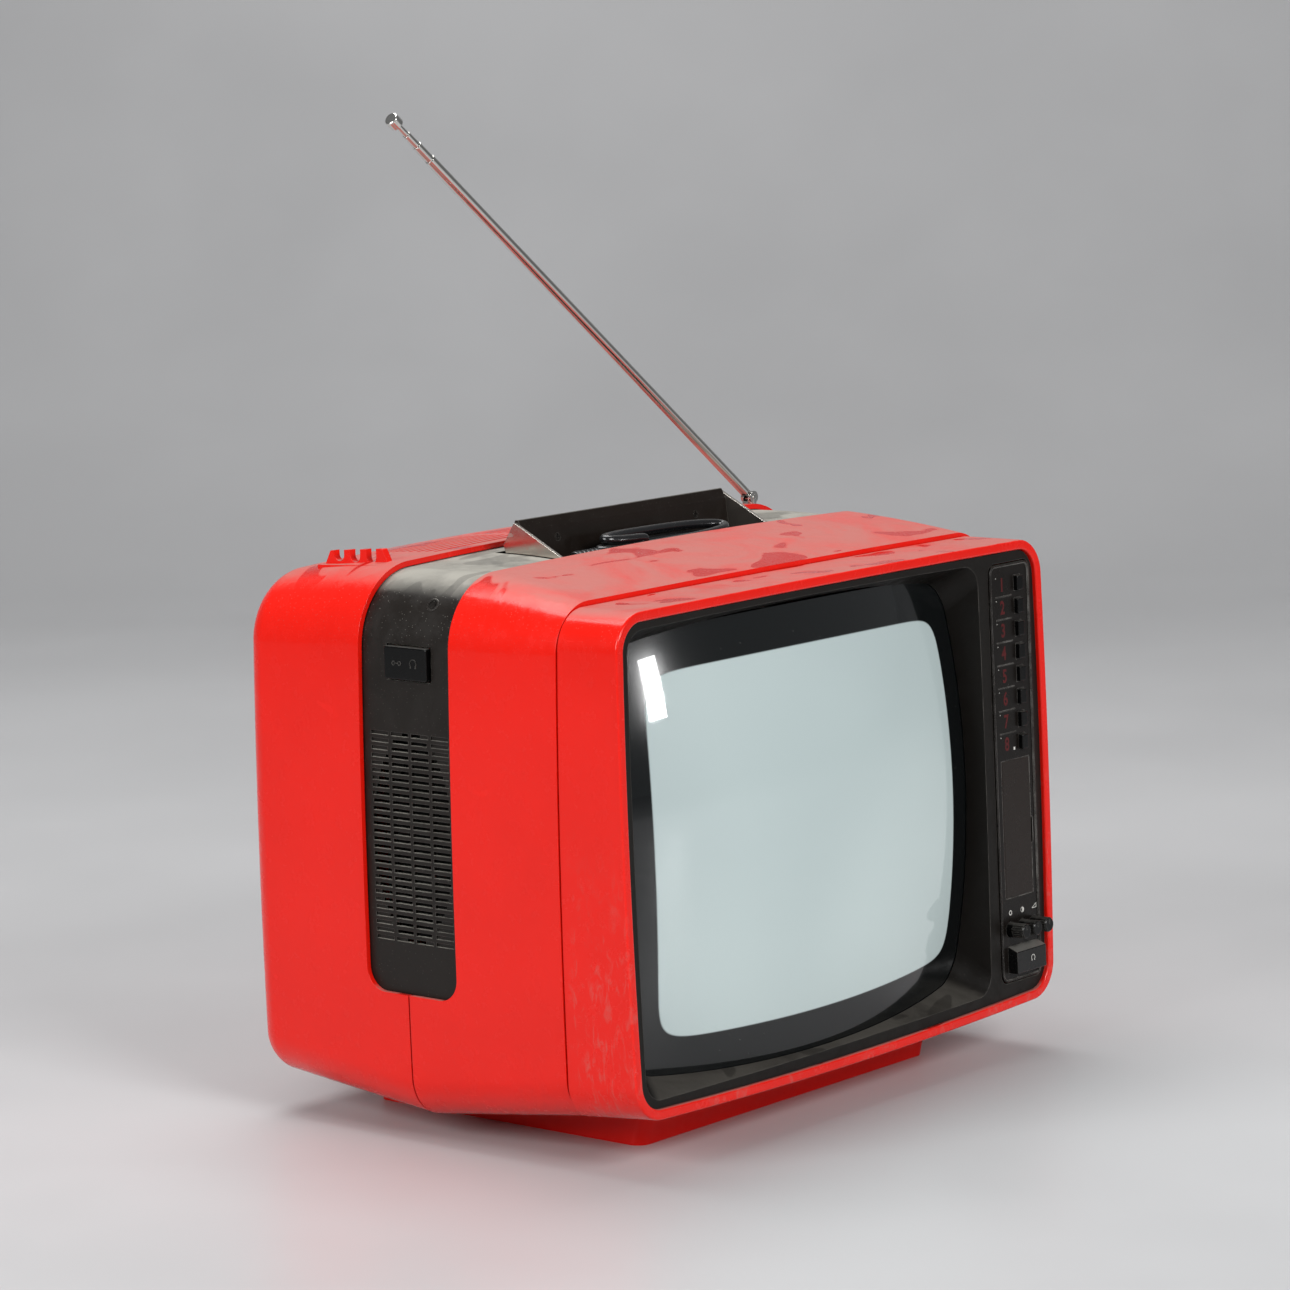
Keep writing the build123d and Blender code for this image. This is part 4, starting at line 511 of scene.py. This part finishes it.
def cable_coil():
    """The mains cable, wound by hand in the handle bay, with the ribbed sleeve of its plug at the left."""
    sleeve_end = Vector((SLEEVE_X * MM, spot(0, BAY_DEPTH, 0).y - 5 * MM, spot(0, 0, SLEEVE_HEIGHT).z))
    path = coil_path(sleeve_end)
    verts, faces = tube_mesh(path, [CABLE_RADIUS] * len(path), 18)
    coil = piece("cable_coil", verts, faces, rubber, sharp=60.0)
    neck = [(0.0, 3.2), (3.0, 4.0)]
    ribs = [
        (4.0 + rib * 4.2 + along, radius)
        for rib in range(5) for along, radius in ((0.0, 4.6), (0.5, 6.0), (2.6, 6.2), (3.1, 4.8))
    ]
    mouth = [(25.5, 5.8), (26.2, 5.4), (26.2, 3.7), (22.0, 3.5), (22.0, 0.3)]
    verts, faces = turned_mesh(sleeve_end, Vector((-1, 0, 0)), neck + ribs + mouth, 28)
    piece("cable_sleeve", verts, faces, rubber, sharp=30.0)
    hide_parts("mains_cable")


def flat_mark(name, outlines, matrix, proud, material, body="case"):
    """A thin raised mark; each outline is a strip of point pairs, in mm."""
    verts, faces = [], []
    for strip in outlines:
        start = len(verts)
        for inner, outer in strip:
            for x, y in (inner, outer):
                verts.append(matrix @ Vector((x * MM, y * MM, proud)))
                verts.append(matrix @ Vector((x * MM, y * MM, -MARK_ROOT)))
        for i in range(len(strip) - 1):
            a = start + 4 * i
            faces += [(a, a + 2, a + 6, a + 4), (a + 1, a + 5, a + 7, a + 3)]
            faces += [(a, a + 4, a + 5, a + 1), (a + 2, a + 3, a + 7, a + 6)]
        last = start + 4 * (len(strip) - 1)
        faces += [(start, start + 1, start + 3, start + 2), (last, last + 2, last + 3, last + 1)]
    piece(name, verts, faces, material, body)


def arc_strip(x, y, inner, outer, start=0.0, end=360.0, steps=28):
    strip = []
    for i in range(steps + 1):
        angle = math.radians(start + (end - start) * i / steps)
        c, s = math.cos(angle), math.sin(angle)
        strip.append(((x + inner * c, y + inner * s), (x + outer * c, y + outer * s)))
    return strip


def bar_strip(x0, y0, x1, y1, wide):
    run = Vector((x1 - x0, y1 - y0)).normalized() * wide / 2
    ends = ((x0, y0), (x1, y1))
    return [((x + run.y, y - run.x), (x - run.y, y + run.x)) for x, y in ends]


def panel_marks():
    """Symbols over the knobs, the power symbol, the cell dots, the lamp by the last key, the numerals."""
    symbols = {
        "brightness": [arc_strip(0, 0, 1.1, 1.75)],
        "contrast": [arc_strip(0, 0, 0.0, 1.9, -90, 90, 16), arc_strip(0, 0, 1.55, 1.9, 90, 270, 16)],
        "volume": [
            bar_strip(-2.6, -0.9, 2.4, -0.9, 0.45), bar_strip(-2.6, -0.9, 2.4, 2.0, 0.45),
            bar_strip(2.4, -1.1, 2.4, 2.2, 0.45),
        ],
    }
    for name, x in KNOB_X.items():
        matrix = face_matrix(x, SYMBOL_HEIGHT, PANEL_FACE)
        flat_mark(f"mark_{name}", symbols[name], matrix, MARK_PROUD, print_white)
    power = [
        arc_strip(0, 0.6, 1.75, 2.2, -55, 235), bar_strip(1.2, -1.2, 2.1, -1.2, 0.5),
        bar_strip(-1.2, -1.2, -2.1, -1.2, 0.5),
    ]
    matrix = face_matrix(*POWER_MIDDLE, PANEL_FACE - POWER_PROUD)
    flat_mark("mark_power", power, matrix, MARK_PROUD, print_white, "power_button")

    boxes = [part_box(key) for key in KEYS]
    heights = [(low.z + high.z) / 2 / MM - CASE_Z for low, high in boxes]
    origin = face_matrix(0, 0, PANEL_FACE)
    dots = [bar_strip(CELL_DOT_X - 0.3, h + 5.4, CELL_DOT_X + 0.3, h + 5.4, 0.6) for h in heights]
    flat_mark("cell_dots", dots, origin, MARK_PROUD, print_white)
    below = heights[-1] - 3.4
    lamp = [bar_strip(LAMP_X - 0.8, below, LAMP_X + 0.8, below, 1.9)]
    flat_mark("key_lamp", lamp, origin, 0.0004, print_white)
    for number, height in enumerate(heights, start=1):
        numeral(str(number), face_matrix(NUMERAL_X, height, PANEL_FACE))


def numeral(text, matrix):
    """A condensed numeral, 8.6 mm tall, printed on the panel."""
    curve = bpy.data.curves.new(f"numeral_curve_{text}", "FONT")
    curve.body, curve.size, curve.extrude, curve.offset = text, FONT_SIZE, MARK_PROUD, FONT_BOLD
    curve.align_x, curve.align_y = "CENTER", "CENTER"
    holder = bpy.data.objects.new(f"numeral_holder_{text}", curve)
    mesh = bpy.data.meshes.new_from_object(holder)
    mesh.transform(matrix @ Matrix.Diagonal((FONT_SQUEEZE, 1.0, 1.0, 1.0)))
    bpy.data.objects.remove(holder)
    placed(f"numeral_{text}", mesh, print_red, "case")


def cover_marks():
    """The two symbols moulded on the socket cover."""
    low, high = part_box("jack_cover")
    middle = (low + high) / 2
    turn = Matrix.Rotation(-math.pi / 2, 4, "Z") @ Matrix.Rotation(math.pi / 2, 4, "X")
    link = [arc_strip(-9.5, 0, 0.9, 1.5), arc_strip(-4.5, 0, 0.9, 1.5), bar_strip(-8.1, 0, -5.9, 0, 0.6)]
    phones = [
        arc_strip(7.0, 0.5, 2.4, 3.0, -40, 220), bar_strip(4.4, -1.6, 5.4, -1.6, 1.6),
        bar_strip(8.6, -1.6, 9.6, -1.6, 1.6),
    ]
    matrix = Matrix.Translation((low.x, middle.y, middle.z)) @ turn
    flat_mark("cover_marks", link + phones, matrix, 0.00035, key_black, "jack_cover")


def band_cap():
    """The small round cap on the shoulder of the band, on the left."""
    profile = ((-1.5, 4.6), (0.25, 4.6), (0.5, 4.3), (0.5, 3.5), (0.1, 3.3), (0.1, 0.2))
    verts, faces = turned_mesh(spot(-214.3, 167, 309.7), Vector((-0.8, 0, 0.6)), profile, 40)
    piece("band_cap", verts, faces, dark_band, sharp=30.0)


cable_coil()
panel_marks()
cover_marks()
band_cap()


# ---------------------------------------------------------------- stage
def stage_floor():
    """A floor that bends up into a wall, running straight away from the camera."""
    near, far, tall, bend, half_wide, bend_steps = -4.0, 3.5, 3.5, 1.2, 6, 12
    profile = [(near, 0.0), (far - bend, 0.0)]
    for i in range(1, bend_steps + 1):
        angle = math.pi / 2 * i / bend_steps
        profile.append((far - bend + bend * math.sin(angle), bend - bend * math.cos(angle)))
    profile.append((far, tall))
    direction, side = Vector((0.7705, 0.6374, 0)), Vector((0.6374, -0.7705, 0))
    verts = [
        direction * run + side * across + Vector((0, 0, rise))
        for run, rise in profile for across in (-half_wide, half_wide)
    ]
    faces = [(2 * i, 2 * i + 1, 2 * i + 3, 2 * i + 2) for i in range(len(profile) - 1)]
    mesh = bpy.data.meshes.new("floor")
    mesh.from_pydata([tuple(v) for v in verts], [], faces)
    for polygon in mesh.polygons:
        polygon.use_smooth = True
    floor = bpy.data.objects.new("floor", mesh)
    bpy.context.scene.collection.objects.link(floor)
    s = Shader("floor_paint")
    base = s.mix(s.band(s.noise(1.5, 4.0), 0.3, 0.7), rgb(178, 178, 179), rgb(186, 186, 187))
    dress(floor, s.surface(Base_Color=base, Roughness=s.band(s.noise(3.0, 3.0), 0.3, 0.7, 0.38, 0.46)))


def softbox(name, place, width, height, power):
    """A rectangular light that looks at the middle of the set."""
    light = bpy.data.lights.new(name, "AREA")
    light.shape, light.size, light.size_y, light.energy = "RECTANGLE", width, height, power
    lamp = bpy.data.objects.new(name, light)
    bpy.context.scene.collection.objects.link(lamp)
    lamp.location = place
    lamp.rotation_euler = (Vector((0, 0, 0.18)) - Vector(place)).to_track_quat("-Z", "Y").to_euler()


def camera():
    """Looks at the set from the left and a little above."""
    azimuth, elevation, roll = (math.radians(a) for a in (CAMERA_AZIMUTH, CAMERA_ELEVATION, CAMERA_ROLL))
    level = math.cos(elevation)
    back = Vector((math.sin(azimuth) * level, -math.cos(azimuth) * level, math.sin(elevation)))
    right = (-back).cross(Vector((0, 0, 1))).normalized()
    up = right.cross(-back)
    across = right * math.cos(roll) + up * math.sin(roll)
    along = up * math.cos(roll) - right * math.sin(roll)
    data = bpy.data.cameras.new("camera")
    data.lens, data.sensor_width = CAMERA_LENS, 36.0
    cam = bpy.data.objects.new("camera", data)
    bpy.context.scene.collection.objects.link(cam)
    rows = [(across[i], along[i], back[i], CAMERA_PLACE[i]) for i in range(3)]
    cam.matrix_world = Matrix((*rows, (0, 0, 0, 1)))
    bpy.context.scene.camera = cam


def light_stage():
    world = bpy.data.worlds.new("studio")
    world.use_nodes = True
    background = world.node_tree.nodes["Background"]
    background.inputs["Color"].default_value = WORLD_COLOUR
    background.inputs["Strength"].default_value = WORLD_STRENGTH
    bpy.context.scene.world = world
    for box in SOFTBOXES:
        softbox(*box)
    bpy.context.scene.view_settings.view_transform = "Standard"


stage_floor()
camera()
light_stage()
